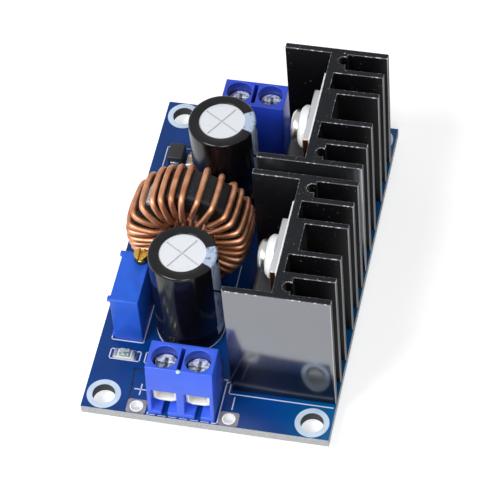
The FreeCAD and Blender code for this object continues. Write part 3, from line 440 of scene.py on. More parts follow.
@dataclass(frozen=True)
class Laminate(Finish):
    """Blue-masked board with pale rough glass-fibre edges and dark plated holes."""

    width: float = 38.0
    length: float = 61.0
    skin: float = 0.02

    def sockets(self, graph: Graph) -> Sockets:
        """Make the mask with a painted reflection towards +X, the edges and the hole walls by where they lie."""
        height = graph.axis("Z")
        side = graph.between(height, self.skin, BOARD_TOP - self.skin)
        rim = (abs(graph.axis("X")) > self.width / 2 - 0.05) + (abs(graph.axis("Y")) > self.length / 2 - 0.05)
        cloud = graph.noise(9.0, detail=2.0)
        weave = graph.noise(0.12, (1.0, 1.0, 5.0), 3.0)
        mask = graph.mix(graph.window(cloud, 0.35, 0.65), tint(0, 50, 116), tint(0, 62, 134))
        # Painted reflection: the mask turns paler and greener towards +X.
        mask = graph.mix(graph.window(graph.axis("X"), 9.0, 19.0), mask, tint(0, 84, 140))
        fibre = graph.mix(graph.window(weave, 0.35, 0.65), tint(126, 128, 128), tint(212, 214, 214))
        plated = (abs(graph.axis("Y")) > 28.2) * (abs(graph.axis("X")) < 12.0)
        bore = graph.mix(plated, tint(64, 68, 66), tint(214, 214, 210))
        wall = graph.mix(graph.window(rim, 0.2, 0.8), bore, fibre)
        return dict(
            Base_Color=graph.mix(side, mask, wall),
            Roughness=0.2 + 0.1 * cloud + 0.45 * side,
            Specular_IOR_Level=0.3,
            Normal=graph.bump(weave * side + 0.15 * cloud, 0.02),
        )


@dataclass(frozen=True)
class PrintedSleeve(Finish):
    """Black shrink sleeve with a pale polarity stripe on one side."""

    centre: Place = (0.0, 0.0)
    stripe_from: float = -24.0
    stripe_to: float = 24.0
    bottom: float = 2.1
    # Height and slope of the painted dark reflection across the stripe.
    dash: float = 10.7
    reflection_slope: float = 7.2

    def sockets(self, graph: Graph) -> Sockets:
        """Make the film and the stripe by the angle round the can, with a painted dark reflection slanting across
        the stripe.
        """
        centre = (*self.centre, 0.0)
        across = graph.axis("X", centre)
        along = graph.axis("Y", centre)
        angle = across.maths("ARCTAN2", along, across)
        half = math.radians(self.stripe_to - self.stripe_from) / 2
        middle = math.radians(self.stripe_from + self.stripe_to) / 2
        away = abs(angle - middle)
        stripe = 1 - graph.window(away, half - 0.02, half)
        height = graph.axis("Z")
        # Painted reflection: dark slanted band of the heatsink plate's edge across the stripe.
        dash = abs(height - self.bottom - self.dash + (angle - middle + 0.2) * self.reflection_slope) < 0.28
        notch = graph.between(height, self.bottom + 16.1, self.bottom + 17.4) * ((angle - middle) > -0.1)
        stripe = stripe * (1 - dash) * (1 - notch) * graph.window(height, self.bottom + 0.9, self.bottom + 1.0)
        cloud = graph.noise(1.8, detail=4.0)
        film = graph.mix(cloud, tint(8, 8, 11), tint(18, 18, 22))
        smudge = graph.window(graph.noise(0.8, (1.0, 1.0, 0.5), 4.0), 0.52, 0.66)
        ink = graph.mix(smudge, tint(176, 192, 216), tint(112, 126, 148))
        return dict(
            Base_Color=graph.mix(stripe, film, ink),
            Roughness=0.12 + 0.1 * cloud + 0.25 * stripe,
            Specular_IOR_Level=0.32,
            Normal=graph.bump(cloud, 0.012),
        )


@dataclass(frozen=True)
class Enamel(Finish):
    """Copper wire under clear enamel."""

    def sockets(self, graph: Graph) -> Sockets:
        """Make the copper, a little darker in places."""
        cloud = graph.noise(2.2, detail=3.0)
        fine = graph.noise(0.3, detail=2.0)
        return dict(
            Base_Color=graph.mix(graph.window(cloud, 0.3, 0.7), tint(192, 128, 92), tint(226, 168, 132)),
            Metallic=0.9,
            Roughness=0.42 + 0.1 * fine,
            Coat_Weight=0.1,
            Coat_Roughness=0.2,
            Normal=graph.bump(fine, 0.006),
        )


@dataclass(frozen=True)
class CorePaint(Finish):
    """Dark coated powder ring with a speckled skin and one rubbed patch."""

    patch: Spot = (-13.2, -1.8, 18.8)

    def sockets(self, graph: Graph) -> Sockets:
        """Make the speckled coating and the rubbed patch."""
        speckle = graph.noise(0.16, detail=4.0)
        cloud = graph.noise(1.5, detail=3.0)
        place = graph.point(self.patch, (1.0, 0.45, 1.0))
        reach = graph.add("ShaderNodeVectorMath", {"operation": "LENGTH"}, {0: place}, "Value")
        rubbed = (1 - graph.window(reach + 0.8 * cloud, 1.3, 1.7)) * graph.window(speckle, 0.38, 0.52)
        spark = graph.window(graph.noise(0.22, detail=2.0), 0.66, 0.72) * 0.4
        coat = graph.mix(speckle, tint(9, 9, 11), tint(26, 26, 30))
        coat = graph.mix(spark, coat, tint(120, 122, 128))
        return dict(
            Base_Color=graph.mix(rubbed, coat, tint(196, 200, 208)),
            Roughness=0.42 + 0.2 * cloud,
            Specular_IOR_Level=0.3,
            Normal=graph.bump(speckle, 0.02),
        )


@dataclass(frozen=True)
class TabPlating(Finish):
    """Bright plated copper tab whose sheared edges show the copper."""

    middle: float = 0.0
    half: float = 5.08

    def sockets(self, graph: Graph) -> Sockets:
        """Make the plating and the copper edges."""
        grain = graph.noise(0.3, (1.0, 1.0, 0.1), 4.0)
        cloud = graph.noise(2.0, detail=2.0)
        edge = graph.window(abs(graph.axis("Y", (0, self.middle, 0))), self.half - 0.14, self.half - 0.06)
        return dict(
            Base_Color=graph.mix(edge, tint(214, 216, 218), tint(176, 128, 100)),
            Metallic=1.0,
            Roughness=0.22 + 0.12 * cloud + 0.1 * grain,
            Normal=graph.bump(grain, 0.003),
        )


@dataclass(frozen=True)
class ClampSteel(Finish):
    """Bright screw head with painted shade for a second recess across its slot."""

    centre: Place = (0.0, 0.0)
    reach: float = 1.15
    half: float = 0.3

    def sockets(self, graph: Graph) -> Sockets:
        """Make the steel and the painted shade of the crossing recess."""
        centre = (*self.centre, 0.0)
        across = abs(graph.axis("X", centre))
        along = abs(graph.axis("Y", centre))
        # Painted shade: the crossing recess is not in the shape, only darkened here.
        recess = (1 - graph.window(across, self.half - 0.1, self.half)) * (along < self.reach)
        burr = graph.window(graph.noise(0.6, detail=2.0), 0.44, 0.56)
        steel = graph.mix(burr, tint(150, 160, 186), tint(236, 240, 246))
        return dict(
            Base_Color=graph.mix(recess * 0.85, steel, tint(34, 40, 60)),
            Metallic=0.35,
            Roughness=0.34 + 0.15 * burr,
            Normal=graph.bump(burr * (1 - recess), 0.03),
        )


@dataclass(frozen=True)
class CanEnd(Finish):
    """Matt drawn aluminium with painted shade in its scored vent lines."""

    top: float = 19.7
    score: float = 0.15

    def sockets(self, graph: Graph) -> Sockets:
        """Make the aluminium and paint shade on the bottoms and walls of the scored lines."""
        cloud = graph.noise(1.2, detail=4.0)
        height = graph.axis("Z")
        # Painted shade in the scored lines.
        score = graph.between(height, self.top - self.score - 0.01, self.top - 0.03)
        stain = graph.window(graph.noise(0.5, detail=3.0), 0.66, 0.74)
        skin = graph.mix(stain * 0.5, tint(229, 232, 238), tint(200, 202, 208))
        return dict(
            Base_Color=graph.mix(score, skin, tint(198, 198, 202)),
            Metallic=0.25,
            Roughness=0.5 + 0.1 * cloud,
            Normal=graph.bump(cloud, 0.01),
        )


@dataclass(frozen=True)
class ClearLens(Finish):
    """Cloudy clear resin of the lamp."""

    def sockets(self, graph: Graph) -> Sockets:
        """Make the resin."""
        cloud = graph.noise(0.5, detail=2.0)
        mark = graph.window(graph.noise(0.55, detail=1.0), 0.58, 0.64)
        resin = graph.mix(cloud, tint(206, 222, 216), tint(236, 242, 240))
        return dict(
            Base_Color=graph.mix(mark, resin, tint(70, 168, 140)),
            Roughness=0.12 + 0.1 * cloud,
            Transmission_Weight=0.45,
            IOR=1.5,
        )


@functools.cache
def material(finish: Finish) -> Material:
    """Make a finish's material once."""
    return finish.build()


class Finishes:
    """The finishes that need no places of their own."""

    PLATE = Metal("plated_steel", Slot.PLATING, tint(214, 214, 210), 0.22)
    ZINC = Metal("zinc_plated_steel", Slot.SCREW, tint(206, 206, 204), 0.3, dull=tint(110, 108, 104))
    TIN = Metal("tinned_lead", Slot.TINNED, tint(200, 202, 204), 0.34, (1.0, 1.0, 0.15))
    SOLDER = Metal("solder", Slot.TINNED, tint(196, 198, 202), 0.28, grain=0.6)
    PAD_TIN = Moulding("tinned_pad", Slot.TINNED, tint(150, 146, 152), 0.4, 0.25, 0.4, 0.006, shine=0.3)
    RING_TIN = Moulding("tinned_ring", Slot.TINNED, tint(206, 224, 242), 0.4, 0.08, 0.5, 0.004, shine=0.25)
    CAGE = Moulding("nickelled_cage", Slot.PLATING, tint(246, 244, 238), 0.34, 0.1, shine=0.3)
    BRASS = Metal("turned_brass", Slot.BRASS, tint(214, 178, 84), 0.3, dull=tint(120, 92, 34))
    RUBBER = Moulding("black_rubber", Slot.RUBBER, tint(26, 26, 28), 0.6, grain=0.1)
    EPOXY = Moulding("moulded_epoxy", Slot.EPOXY, tint(34, 34, 37), 0.5, grain=0.12, depth=0.008)
    NYLON = Moulding("white_nylon", Slot.NYLON, tint(236, 238, 238), 0.45, 0.04, soak=0.1)
    INK = Moulding("legend_ink", Slot.NYLON, tint(206, 212, 232), 0.55, 0.06, depth=0.003)
    SHEET = Moulding("pad_sheet", Slot.PAD, tint(240, 243, 248), 0.5, 0.05)
    CERAMIC = Moulding("white_ceramic", Slot.CERAMIC, tint(222, 222, 214), 0.5, 0.05)
    GREY = Moulding("grey_plastic", Slot.GREY, tint(96, 96, 100), 0.5)


def mesh_of(name: str, shape: Shape) -> bpy.types.Mesh:
    """Turn a shape into a mesh and free it."""
    mesh = bpy.data.meshes.new(name)
    shape.to_mesh(mesh)
    shape.free()
    return mesh


def placed(name: str, data: bpy.types.ID) -> bpy.types.Object:
    """Add an object with that data to the scene."""
    item = bpy.data.objects.new(name, data)
    bpy.context.scene.collection.objects.link(item)
    return item


def aimed(place: Vector, aim: Vector) -> Matrix:
    """Give the pose of a camera or lamp at one place that looks at another."""
    return Matrix.Translation(place) @ (aim - place).to_track_quat("-Z", "Y").to_matrix().to_4x4()


def smooth(shape: Shape) -> Shape:
    """Merge doubled corners and turn every face outwards."""
    bmesh.ops.remove_doubles(shape, verts=shape.verts, dist=0.0005)
    bmesh.ops.recalc_face_normals(shape, faces=shape.faces)
    return shape


def lathe(profile: Sequence[Place], steps: int, closed: bool = False) -> Shape:
    """Spin an outline of (radius, height) corners round Z.

    Args:
        profile: Corners from one end to the other.
        steps: Steps in the full turn.
        closed: Whether the outline closes on itself.

    Returns:
        The turned shape.
    """
    shape = bmesh.new()
    corners = [shape.verts.new((radius, 0, height)) for radius, height in profile]
    pairs = list(zip(corners, corners[1:])) + ([(corners[-1], corners[0])] if closed else [])
    edges = [shape.edges.new(pair) for pair in pairs]
    bmesh.ops.spin(shape, geom=corners + edges, axis=(0, 0, 1), angle=math.tau, steps=steps, use_merge=True)
    return smooth(shape)


def arc(centre: Place, radius: float, start: float, stop: float, steps: int) -> list[Place]:
    """List the corners of a round stretch of an outline, with angles in degrees."""
    turn = [math.radians(start + (stop - start) * step / steps) for step in range(steps + 1)]
    return [(centre[0] + radius * math.cos(angle), centre[1] + radius * math.sin(angle)) for angle in turn]


def move(shape: Shape, x: float, y: float, z: float, turn: Matrix | None = None) -> Shape:
    """Turn a shape about the origin and put it in its place."""
    matrix = Matrix.Translation((x, y, z)) @ (turn.to_4x4() if turn else Matrix.Identity(4))
    bmesh.ops.transform(shape, matrix=matrix, verts=shape.verts)
    return shape


def join(shapes: Iterable[Shape]) -> Shape:
    """Gather shapes in one."""
    whole = bmesh.new()
    for shape in shapes:
        carrier = mesh_of("carrier", shape)
        whole.from_mesh(carrier)
        bpy.data.meshes.remove(carrier)
    return whole


def block(low: Sequence[float], high: Sequence[float]) -> Shape:
    """Make a block between two corners."""
    shape = bmesh.new()
    bmesh.ops.create_cube(shape, size=1.0)
    bmesh.ops.scale(shape, vec=Vector(high) - Vector(low), verts=shape.verts)
    bmesh.ops.translate(shape, vec=(Vector(high) + Vector(low)) / 2, verts=shape.verts)
    return shape


def bevelled(shape: Shape, width: float) -> Shape:
    """Round every sharp edge."""
    edges = [edge for edge in shape.edges if edge.is_manifold and edge.calc_face_angle() > SHARP_EDGE]
    bmesh.ops.bevel(
        shape, geom=edges, offset=width, offset_type="OFFSET", segments=2, profile=0.5, affect="EDGES", material=-1
    )
    return shape


def strokes(run: Sequence[Place], width: float, thickness: float = INK_LIFT) -> Iterable[Shape]:
    """Make flat printed lines on the board from each place of a run to the next."""
    for start, stop in itertools.pairwise(map(Vector, run)):
        step = stop - start
        reach = step.length / 2 + width / 2
        line = block((-reach, -width / 2, 0), (reach, width / 2, thickness))
        yield move(line, *((start + stop) / 2), BOARD_TOP, Matrix.Rotation(math.atan2(step.y, step.x), 3, "Z"))


def washer(x: float, y: float, z: float, inner: float, outer: float, thickness: float = RING_LIFT) -> Shape:
    """Make a flat ring with its underside at z."""
    outline = [(inner, 0), (outer, 0), (outer, thickness), (inner, thickness)]
    return move(lathe(outline, 40, closed=True), x, y, z)


class Workshop:
    """Turns shapes into finished pieces on their bodies."""

    def __init__(self, frame: dict[str, object]) -> None:
        """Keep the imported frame."""
        self.nodes = frame["nodes"]

    def piece(
        self,
        name: str,
        shape: Shape,
        finish: Finish,
        body: str = "module",
        replaces: Sequence[str] = (),
        crease: float = 36.0,
    ) -> None:
        """Make a finished piece from a shape in millimetres.

        Args:
            name: The piece's name.
            shape: The shape, which is used up.
            finish: Its finish.
            body: The body that it rides on.
            replaces: Nodes that it stands for.
            crease: Angle in degrees above which an edge stays sharp.
        """
        bmesh.ops.scale(shape, vec=(MM, MM, MM), verts=shape.verts)
        mesh = mesh_of(name, shape)
        mesh.shade_smooth()
        mesh.set_sharp_from_angle(angle=math.radians(crease))
        mesh.materials.append(material(finish))
        item = placed(name, mesh)
        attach(item, body)
        if replaces:
            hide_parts(*replaces)
        LOG.info("%s: %d faces", name, len(mesh.polygons))

    def copy_of(self, node: str) -> Shape:
        """Copy a node's mesh in millimetres, with its flat faces whole again."""
        shape = bmesh.new()
        shape.from_mesh(self.nodes[node].data)
        bmesh.ops.scale(shape, vec=(1 / MM, 1 / MM, 1 / MM), verts=shape.verts)
        bmesh.ops.remove_doubles(shape, verts=shape.verts, dist=0.0008)
        bmesh.ops.dissolve_limit(shape, angle_limit=math.radians(1.0), verts=shape.verts, edges=shape.edges)
        return shape

    def soften(self, node: str, width: float, finish: Finish, body: str = "module") -> None:
        """Stand a copy with rounded edges in a node's place."""
        self.piece(f"{node}_finished", bevelled(self.copy_of(node), width), finish, body, (node,))

    def dress(self, finish: Finish, *nodes: str) -> None:
        """Give nodes that stay a finish."""
        for node in nodes:
            self.nodes[node].material_slots[0].material = material(finish)


@dataclass
class Board:
    """Circuit board with its legend, pads and rings."""

    length: float = 61.0
    hole_x: float = 16.0
    hole_y: float = 27.8
    hole: float = 3.5
    hole_ring: float = 5.2
    wire_hole: float = 1.7
    wire_pad: Place = (3.0, 2.5)
    wire_offset: float = 7.1
    wire_edge: float = 1.3
    ink: float = 0.17
    mark: float = 0.19
    dash: float = 0.1
    can_outline: float = 5.22
    marks: tuple[tuple[Place, ...], ...] = (
        ((-10.64, -27.05), (-10.64, -25.2)),
        ((-11.55, -26.12), (-9.73, -26.12)),
        ((3.71, -27.4), (3.71, -25.27)),
        ((-10.2, 26.0), (-10.2, 28.0)),
        ((3.4, 27.0), (5.2, 27.0)),
        ((4.3, 26.1), (4.3, 27.9)),
    )
    outlines: tuple[tuple[Place, ...], ...] = (
        ((2.0, -22.65), (2.0, -30.3), (1.2, -30.3)),
        ((-9.0, -22.3), (2.0, -22.3)),
        ((-8.7, -30.0), (-8.7, -30.3)),
        ((1.7, -19.6), (2.35, -19.6), (2.35, -21.3)),
        ((2.35, -22.6), (2.0, -23.0)),
        ((18.6, -24.69), (2.67, -24.69), (2.67, -0.9)),
        ((2.67, 0.8), (2.67, 24.5), (18.6, 24.5)),
        ((-0.35, -0.8), (-0.35, -5.0)),
        ((-12.2, -10.0), (-12.2, -17.7), (-17.2, -17.7), (-17.2, -7.6)),
        ((-16.8, -19.4), (-16.8, -21.2), (-12.1, -21.2), (-12.1, -19.4), (-16.8, -19.4)),
        ((-11.3, -19.3), (-11.3, -21.25), (-8.1, -21.25), (-8.1, -19.3), (-11.3, -19.3)),
        ((-17.1, 16.7), (-17.1, 21.1), (-13.1, 21.1), (-13.1, 16.7), (-17.1, 16.7)),
    )
    gap: tuple[Place, ...] = ((-9.2, -22.35), (-11.0, -22.4), (-12.4, -22.6), (-12.15, -25.4), (-12.07, -28.7))

    def build(self, shop: Workshop) -> None:
        """Dress the board and lay its pads and legend."""
        shop.dress(Laminate("blue_mask", Slot.BOARD), "circuit_board")
        trace = Moulding("bare_gap", Slot.BOARD, tint(4, 22, 46), 0.5, depth=0.001)
        # Painted light: the linings are near white to stand in for the lit floor seen through the wire holes.
        bright = Moulding("painted_light_lining", Slot.TINNED, tint(250, 250, 250), 0.5, 0.02)
        shop.piece("board_rings", join(self.rings()), Finishes.RING_TIN)
        shop.piece("board_pads", join(self.pads()), Finishes.PAD_TIN)
        shop.piece("board_gap", join(strokes(self.gap, 0.22, 0.004)), trace)
        shop.piece("wire_hole_linings", join(self.linings()), bright)
        shop.piece("board_legend", join(self.legend()), Finishes.INK)

    def rings(self) -> Iterable[Shape]:
        """Make the rings of the mounting holes on both faces."""
        for face, i, j in itertools.product((BOARD_TOP, -RING_LIFT), (-1, 1), (-1, 1)):
            yield washer(i * self.hole_x, j * self.hole_y, face, self.hole / 2, self.hole_ring / 2)

    def wire_holes(self) -> Iterable[Place]:
        """Give the middles of the four wire holes."""
        for x, y in TERMINALS.values():
            for side in (-1, 1):
                yield x + side * self.wire_offset, math.copysign(self.length / 2 - self.wire_edge, y)

    def pads(self) -> Iterable[Shape]:
        """Make the wire pads on both faces."""
        for face in (BOARD_TOP, -RING_LIFT):
            for x, y in self.wire_holes():
                yield self.wire_pad_shape(x, y, face)

    def linings(self) -> Iterable[Shape]:
        """Make the plated linings of the wire holes, painted near white for the lit floor seen through them."""
        inner = self.wire_hole / 2 - 0.03
        outer, low, high = inner + 0.2, -0.06, BOARD_TOP + 0.05
        for x, y in self.wire_holes():
            rims = [(inner, low), (outer, low), (outer, high), (inner, high)]
            yield move(lathe(rims, 40, closed=True), x, y, 0.0)

    def wire_pad_shape(self, x: float, y: float, z: float) -> Shape:
        """Make a rounded pad with a hole from two loops bridged together."""
        shape = bmesh.new()
        wide, long = (part / 2 for part in self.wire_pad)
        hole = bmesh.ops.create_circle(shape, segments=32, radius=self.wire_hole / 2)["verts"]
        rim = bmesh.ops.create_circle(shape, segments=32, radius=1.18 * wide)["verts"]
        for corner in rim:
            corner.co.x = max(-wide, min(wide, corner.co.x))
            corner.co.y = max(-long, min(long, corner.co.y))
        bmesh.ops.bridge_loops(shape, edges=list({edge for corner in hole + rim for edge in corner.link_edges}))
        raised = bmesh.ops.extrude_face_region(shape, geom=list(shape.faces))["geom"]
        lifted = [item for item in raised if isinstance(item, bmesh.types.BMVert)]
        bmesh.ops.translate(shape, vec=(0, 0, RING_LIFT), verts=lifted)
        return move(smooth(shape), x, y, z)

    def legend(self) -> Iterable[Shape]:
        """Make the plain printed lines: polarity marks, part outlines and dashes."""
        for width, runs in ((self.mark, self.marks), (self.ink, self.outlines)):
            for run in runs:
                yield from strokes(run, width)
        for number in range(6):
            start = -8.7 + 1.65 * number
            yield from strokes(((start, -30.3), (start + 1.15, -30.3)), self.dash)
        for x, y in CAPACITORS.values():
            inner = self.can_outline - self.ink / 2
            yield washer(x, y, BOARD_TOP, inner, self.can_outline + self.ink / 2, INK_LIFT)


@dataclass
class PowerSide:
    """One heatsink with its pins, power package, insulators and screw."""

    sink: str
    package: str

    def build(self, shop: Workshop) -> None:
        """Round the extrusion and dress the package."""
        middle = SINKS[self.sink]
        skin = BlackExtrusion(f"{self.sink}_extrusion", Slot.HEATSINK, middle)
        shop.soften(f"{self.sink}_heatsink", 0.13, skin)
        shop.dress(Finishes.TIN, f"{self.sink}_heatsink_pins", f"{self.package}_leads")
        parts = (
            ("tab", 0.12, TabPlating(f"{self.package}_plating", Slot.PLATING, middle)),
            ("case", 0.12, Finishes.EPOXY),
            ("insulating_pad", 0.05, Finishes.SHEET),
            ("insulating_bush", 0.12, Finishes.NYLON),
            ("mounting_screw", 0.16, Finishes.ZINC),
        )
        for part, width, finish in parts:
            shop.soften(f"{self.package}_{part}", width, finish)


@dataclass
class RingInductor:
    """Upright powder ring wound with one round enamelled wire.

    Each turn is its angle outside the ring and the one in the bore, in degrees from +X.
    """

    centre: Spot = (-7.54, -1.2, 11.81)
    lean: float = 4.8
    wire: float = 0.95
    radius: float = 9.285
    bore: float = 4.365
    half: float = 3.635
    layer: float = 0.75
    bulge: float = 0.5
    slack: float = 0.65
    lead_end: float = -1.5
    bend: float = 0.95
    right: tuple[Place, ...] = (
        (75.5, 79.5), (60.0, 60.0), (44.2, 44.0), (34.6, 31.0), (21.3, 17.0), (11.0, 3.0), (1.8, -11.0),
        (-6.8, -22.0), (-18.0, -33.0), (-29.0, -44.0), (-41.0, -55.0), (-54.0, -66.0), (-69.0, -78.0),
    )
    left: tuple[Place, ...] = (
        (91.0, 94.0), (101.5, 106.0), (112.3, 121.0), (122.0, 134.0), (136.2, 146.0), (152.5, 157.0),
        (167.5, 167.0), (177.0, 178.0), (186.0, 191.0), (193.5, 204.0), (200.0, 218.0), (206.0, 231.0),
    )
    left_rest: int = 6
    rest_step: Place = (7.0, 9.0)

    def build(self, shop: Workshop) -> None:
        """Round the ring and wind the wire on it."""
        shop.soften("toroid_core", 0.3, CorePaint("core_paint", Slot.CORE))
        enamel = Enamel("copper_enamel", Slot.WIRE)
        wire = self.swept(self.eased(self.route()))
        shop.piece("inductor_wire", wire, enamel, replaces=("inductor_winding",), crease=60.0)

    def places(self) -> list[tuple[float, float, int]]:
        """List each turn's outer angle, bore angle and layer from the right lead to the left one."""
        turns = [*self.right[::-1], *self.left]
        for _ in range(self.left_rest):
            turns.append((turns[-1][0] + self.rest_step[0], turns[-1][1] + self.rest_step[1]))
        last = len(self.right) - 1
        return [(math.radians(outer), math.radians(bore), (last - n) % 2) for n, (outer, bore) in enumerate(turns)]

    def on_ring(self, angle: float, radius: float, along: float) -> Vector:
        """Give a point at an angle, a radius and a distance along the ring's axis."""
        lean = Matrix.Rotation(math.radians(-self.lean), 3, "X")
        point = Vector((radius * math.cos(angle), along, radius * math.sin(angle)))
        return Vector(self.centre) + lean @ point

    def route(self) -> list[Vector]:
        """List the wire's corners from one lead through all turns to the other lead."""
        points: list[Vector] = []
        for outer, inner, layer in self.places():
            radius = self.bore - layer * self.layer
            half = self.half + layer * self.bulge
            points.append(self.on_ring(outer, self.radius, self.half))
            points.append(self.on_ring(outer, self.radius, -self.half - self.slack))
            points += [self.on_ring(inner, radius, -half), self.on_ring(inner, radius, half)]
        points = points[:-2]
        first, last = points[0], points[-1]
        return [Vector((first.x, first.y, self.lead_end))] + points + [Vector((last.x, last.y, self.lead_end))]

    def eased(self, route: Sequence[Vector]) -> list[Vector]:
        """Replace each corner by a point a short way before it and one after it."""
        points = [route[0]]
        for before, corner, after in zip(route, route[1:], route[2:]):
            for other in (before, after):
                step = other - corner
                points.append(corner + step * min(self.bend / step.length, 0.4))
        return points + [route[-1]]

    def swept(self, points: Sequence[Vector]) -> Shape:
        """Sweep the round wire along a smooth spline through the points."""
        curve = bpy.data.curves.new("wire_route", "CURVE")
        curve.dimensions = "3D"
        curve.resolution_u = 4
        curve.bevel_depth = self.wire / 2
        curve.bevel_resolution = 3
        curve.use_fill_caps = True
        spline = curve.splines.new("NURBS")
        spline.points.add(len(points) - 1)
        for place, point in zip(spline.points, points):
            place.co = (*point, 1.0)
        spline.order_u = 3
        spline.use_endpoint_u = True
        carrier = placed("wire_route", curve)
        bpy.context.view_layer.update()
        mesh = bpy.data.meshes.new_from_object(carrier.evaluated_get(bpy.context.evaluated_depsgraph_get()))
        shape = bmesh.new()
        shape.from_mesh(mesh)
        bpy.data.objects.remove(carrier)
        bpy.data.meshes.remove(mesh)
        return smooth(shape)


@dataclass
class Capacitor:
    """Electrolytic capacitor: can, printed sleeve, seal and leads."""

    name: str
    stripe: Place
    foot: float = 2.1
    radius: float = 5.0
    wall: float = 0.25
    height: float = 17.6
    fold: float = 3.55
    shoulder: float = 0.45
    groove: float = 0.16
    groove_level: float = 2.6

    def build(self, shop: Workshop) -> None:
        """Make the sleeve and dress the rest."""
        middle = CAPACITORS[self.name]
        name = f"{self.name}_capacitor"
        film = PrintedSleeve(f"{self.name}_sleeve_print", Slot.SLEEVE, middle, *self.stripe, self.foot)
        shape = move(lathe(self.outline(), 96), *middle, self.foot)
        shop.piece(f"{name}_sleeve_finished", shape, film, replaces=(f"{name}_sleeve",), crease=50.0)
        shop.dress(CanEnd("matt_aluminium", Slot.CAN), f"{name}_can")
        shop.dress(Finishes.RUBBER, f"{name}_seal")
        shop.dress(Finishes.TIN, f"{name}_leads")

    def outline(self) -> list[Place]:
        """List the sleeve's outline from the foot over the crimp groove to the rounded fold."""
        outer = self.radius + self.wall
        top = self.height + self.wall
        level = self.groove_level
        outline = [(self.radius - 0.5, 0.12), (self.radius - 0.2, 0.0)]
        outline += arc((outer - 0.3, 0.3), 0.3, -90, 0, 3)
        outline += [(outer, level - 0.7), (outer - 0.08, level - 0.45)]
        outline += [(outer - self.groove, level - 0.12), (outer - self.groove, level + 0.12)]
        outline += [(outer - 0.08, level + 0.45), (outer, level + 0.75)]
        outline += arc((outer - self.shoulder, top - self.shoulder), self.shoulder, 0, 90, 6)
        return outline + [(self.fold + 0.08, top), (self.fold, top - 0.08), (self.fold, self.height)]


@dataclass
class ScrewTerminal:
    """Two-way terminal: housing, contacts, rising cages and clamp screws."""

    name: str
    drop: Spot | None = None
    colour: Colour = tint(50, 92, 220)

    def build(self, shop: Workshop) -> None:
        """Round the housing's edges and dress its metal."""
        x, y = TERMINALS[self.name]
        name = f"{self.name}_terminal"
        plastic = Housing(f"{name}_plastic", Slot.TERMINAL, self.colour, 0.36, 0.05, coat=0.1, middle=(x, y))
        shop.soften(f"{name}_housing", 0.12, plastic)
        shop.dress(Finishes.PLATE, f"{name}_contacts")
        for hand, way in (("left", -TERMINAL_PITCH / 2), ("right", TERMINAL_PITCH / 2)):
            cage = f"{self.name}_{hand}_clamp_cage"
            shop.soften(cage, 0.08, Finishes.CAGE, cage)
            screw = f"{self.name}_{hand}_clamp_screw"
            shop.soften(screw, 0.08, ClampSteel(f"{screw}_steel", Slot.SCREW, (x + way, y)), screw)
        if self.drop is not None:
            shape = bmesh.new()
            bmesh.ops.create_icosphere(shape, subdivisions=3, radius=0.36)
            bmesh.ops.scale(shape, vec=(1.0, 1.0, 0.5), verts=shape.verts)
            clear = Moulding("resin_drop", Slot.CERAMIC, tint(176, 224, 232), 0.2, coat=0.5)
            shop.piece(f"{self.name}_resin_drop", move(shape, *self.drop), clear)


@dataclass
class Trimmer:
    """Sealed multi-turn trimmer."""

    finish: Moulding = Moulding("trimmer_plastic", Slot.TRIMMER, tint(28, 90, 208), 0.42, 0.08)

    def build(self, shop: Workshop) -> None:
        """Round the case and dress the adjuster and the inside."""
        shop.soften("trimmer_case", 0.14, self.finish)
        shop.dress(Finishes.GREY, "trimmer_base", "trimmer_carriage")
        shop.dress(Finishes.CERAMIC, "trimmer_element")
        shop.dress(Finishes.TIN, "trimmer_pins")
        shop.soften("trimmer_adjuster_screw", 0.1, Finishes.BRASS, "trimmer_adjuster")
        shop.soften("trimmer_seal_ring", 0.15, Finishes.RUBBER)


@dataclass
class SmallParts:
    """Diode, lamp, chips and the solder at their ends."""

    def build(self, shop: Workshop) -> None:
        """Dress the surface parts and set their solder fillets."""
        glaze = Moulding("resistor_glaze", Slot.CHIP, tint(30, 30, 32), 0.3, coat=0.3)
        tan = Moulding("capacitor_ceramic", Slot.CHIP_TAN, tint(176, 146, 108), 0.45)
        parts = (
            ("input_diode_body", 0.15, Finishes.EPOXY),
            ("input_diode_leads", 0.05, Finishes.TIN),
            ("indicator_led_base", 0.05, Finishes.CERAMIC),
            ("indicator_led_lens", 0.08, ClearLens("lamp_lens", Slot.LENS)),
            ("led_resistor", 0.04, glaze),
            ("feedback_resistor", 0.04, glaze),
            ("input_chip_capacitor", 0.04, tan),
            ("control_capacitor", 0.04, tan),
        )
        for node, width, finish in parts:
            shop.soften(node, width, finish)
        shop.piece("chip_ends", join(self.ends()), Finishes.SOLDER)

    def ends(self) -> Iterable[Shape]:
        """Make the tinned ends and fillets of the chips and the lamp."""
        lying = ((-9.7, -20.3, 0.0), (-12.75, 18.5, 90.0), (1.0, 15.5, 90.0), (1.0, 12.0, 90.0))
        for x, y, turn in lying:
            for side in (-1, 1):
                shape = self.end(0.42, 1.27, 0.57, side, 1.0)
                yield move(shape, x, y, BOARD_TOP, Matrix.Rotation(math.radians(turn), 3, "Z"))
        for side in (-1, 1):
            yield move(self.end(0.5, 1.5, 0.42, side, 1.6), -14.5, -20.3, BOARD_TOP)

    def end(self, long: float, wide: float, high: float, side: int, reach: float) -> Shape:
        """Make one tinned end that slopes down to its pad."""
        shape = block((reach - long, -wide / 2, 0.0), (reach + 0.35, wide / 2, high + 0.01))
        for corner in shape.verts:
            if corner.co.x > reach and corner.co.z > high / 2:
                corner.co.x = reach + 0.02
        bevelled(shape, 0.06)
        if side < 0:
            bmesh.ops.scale(shape, vec=(-1, 1, 1), verts=shape.verts)
        return smooth(shape)


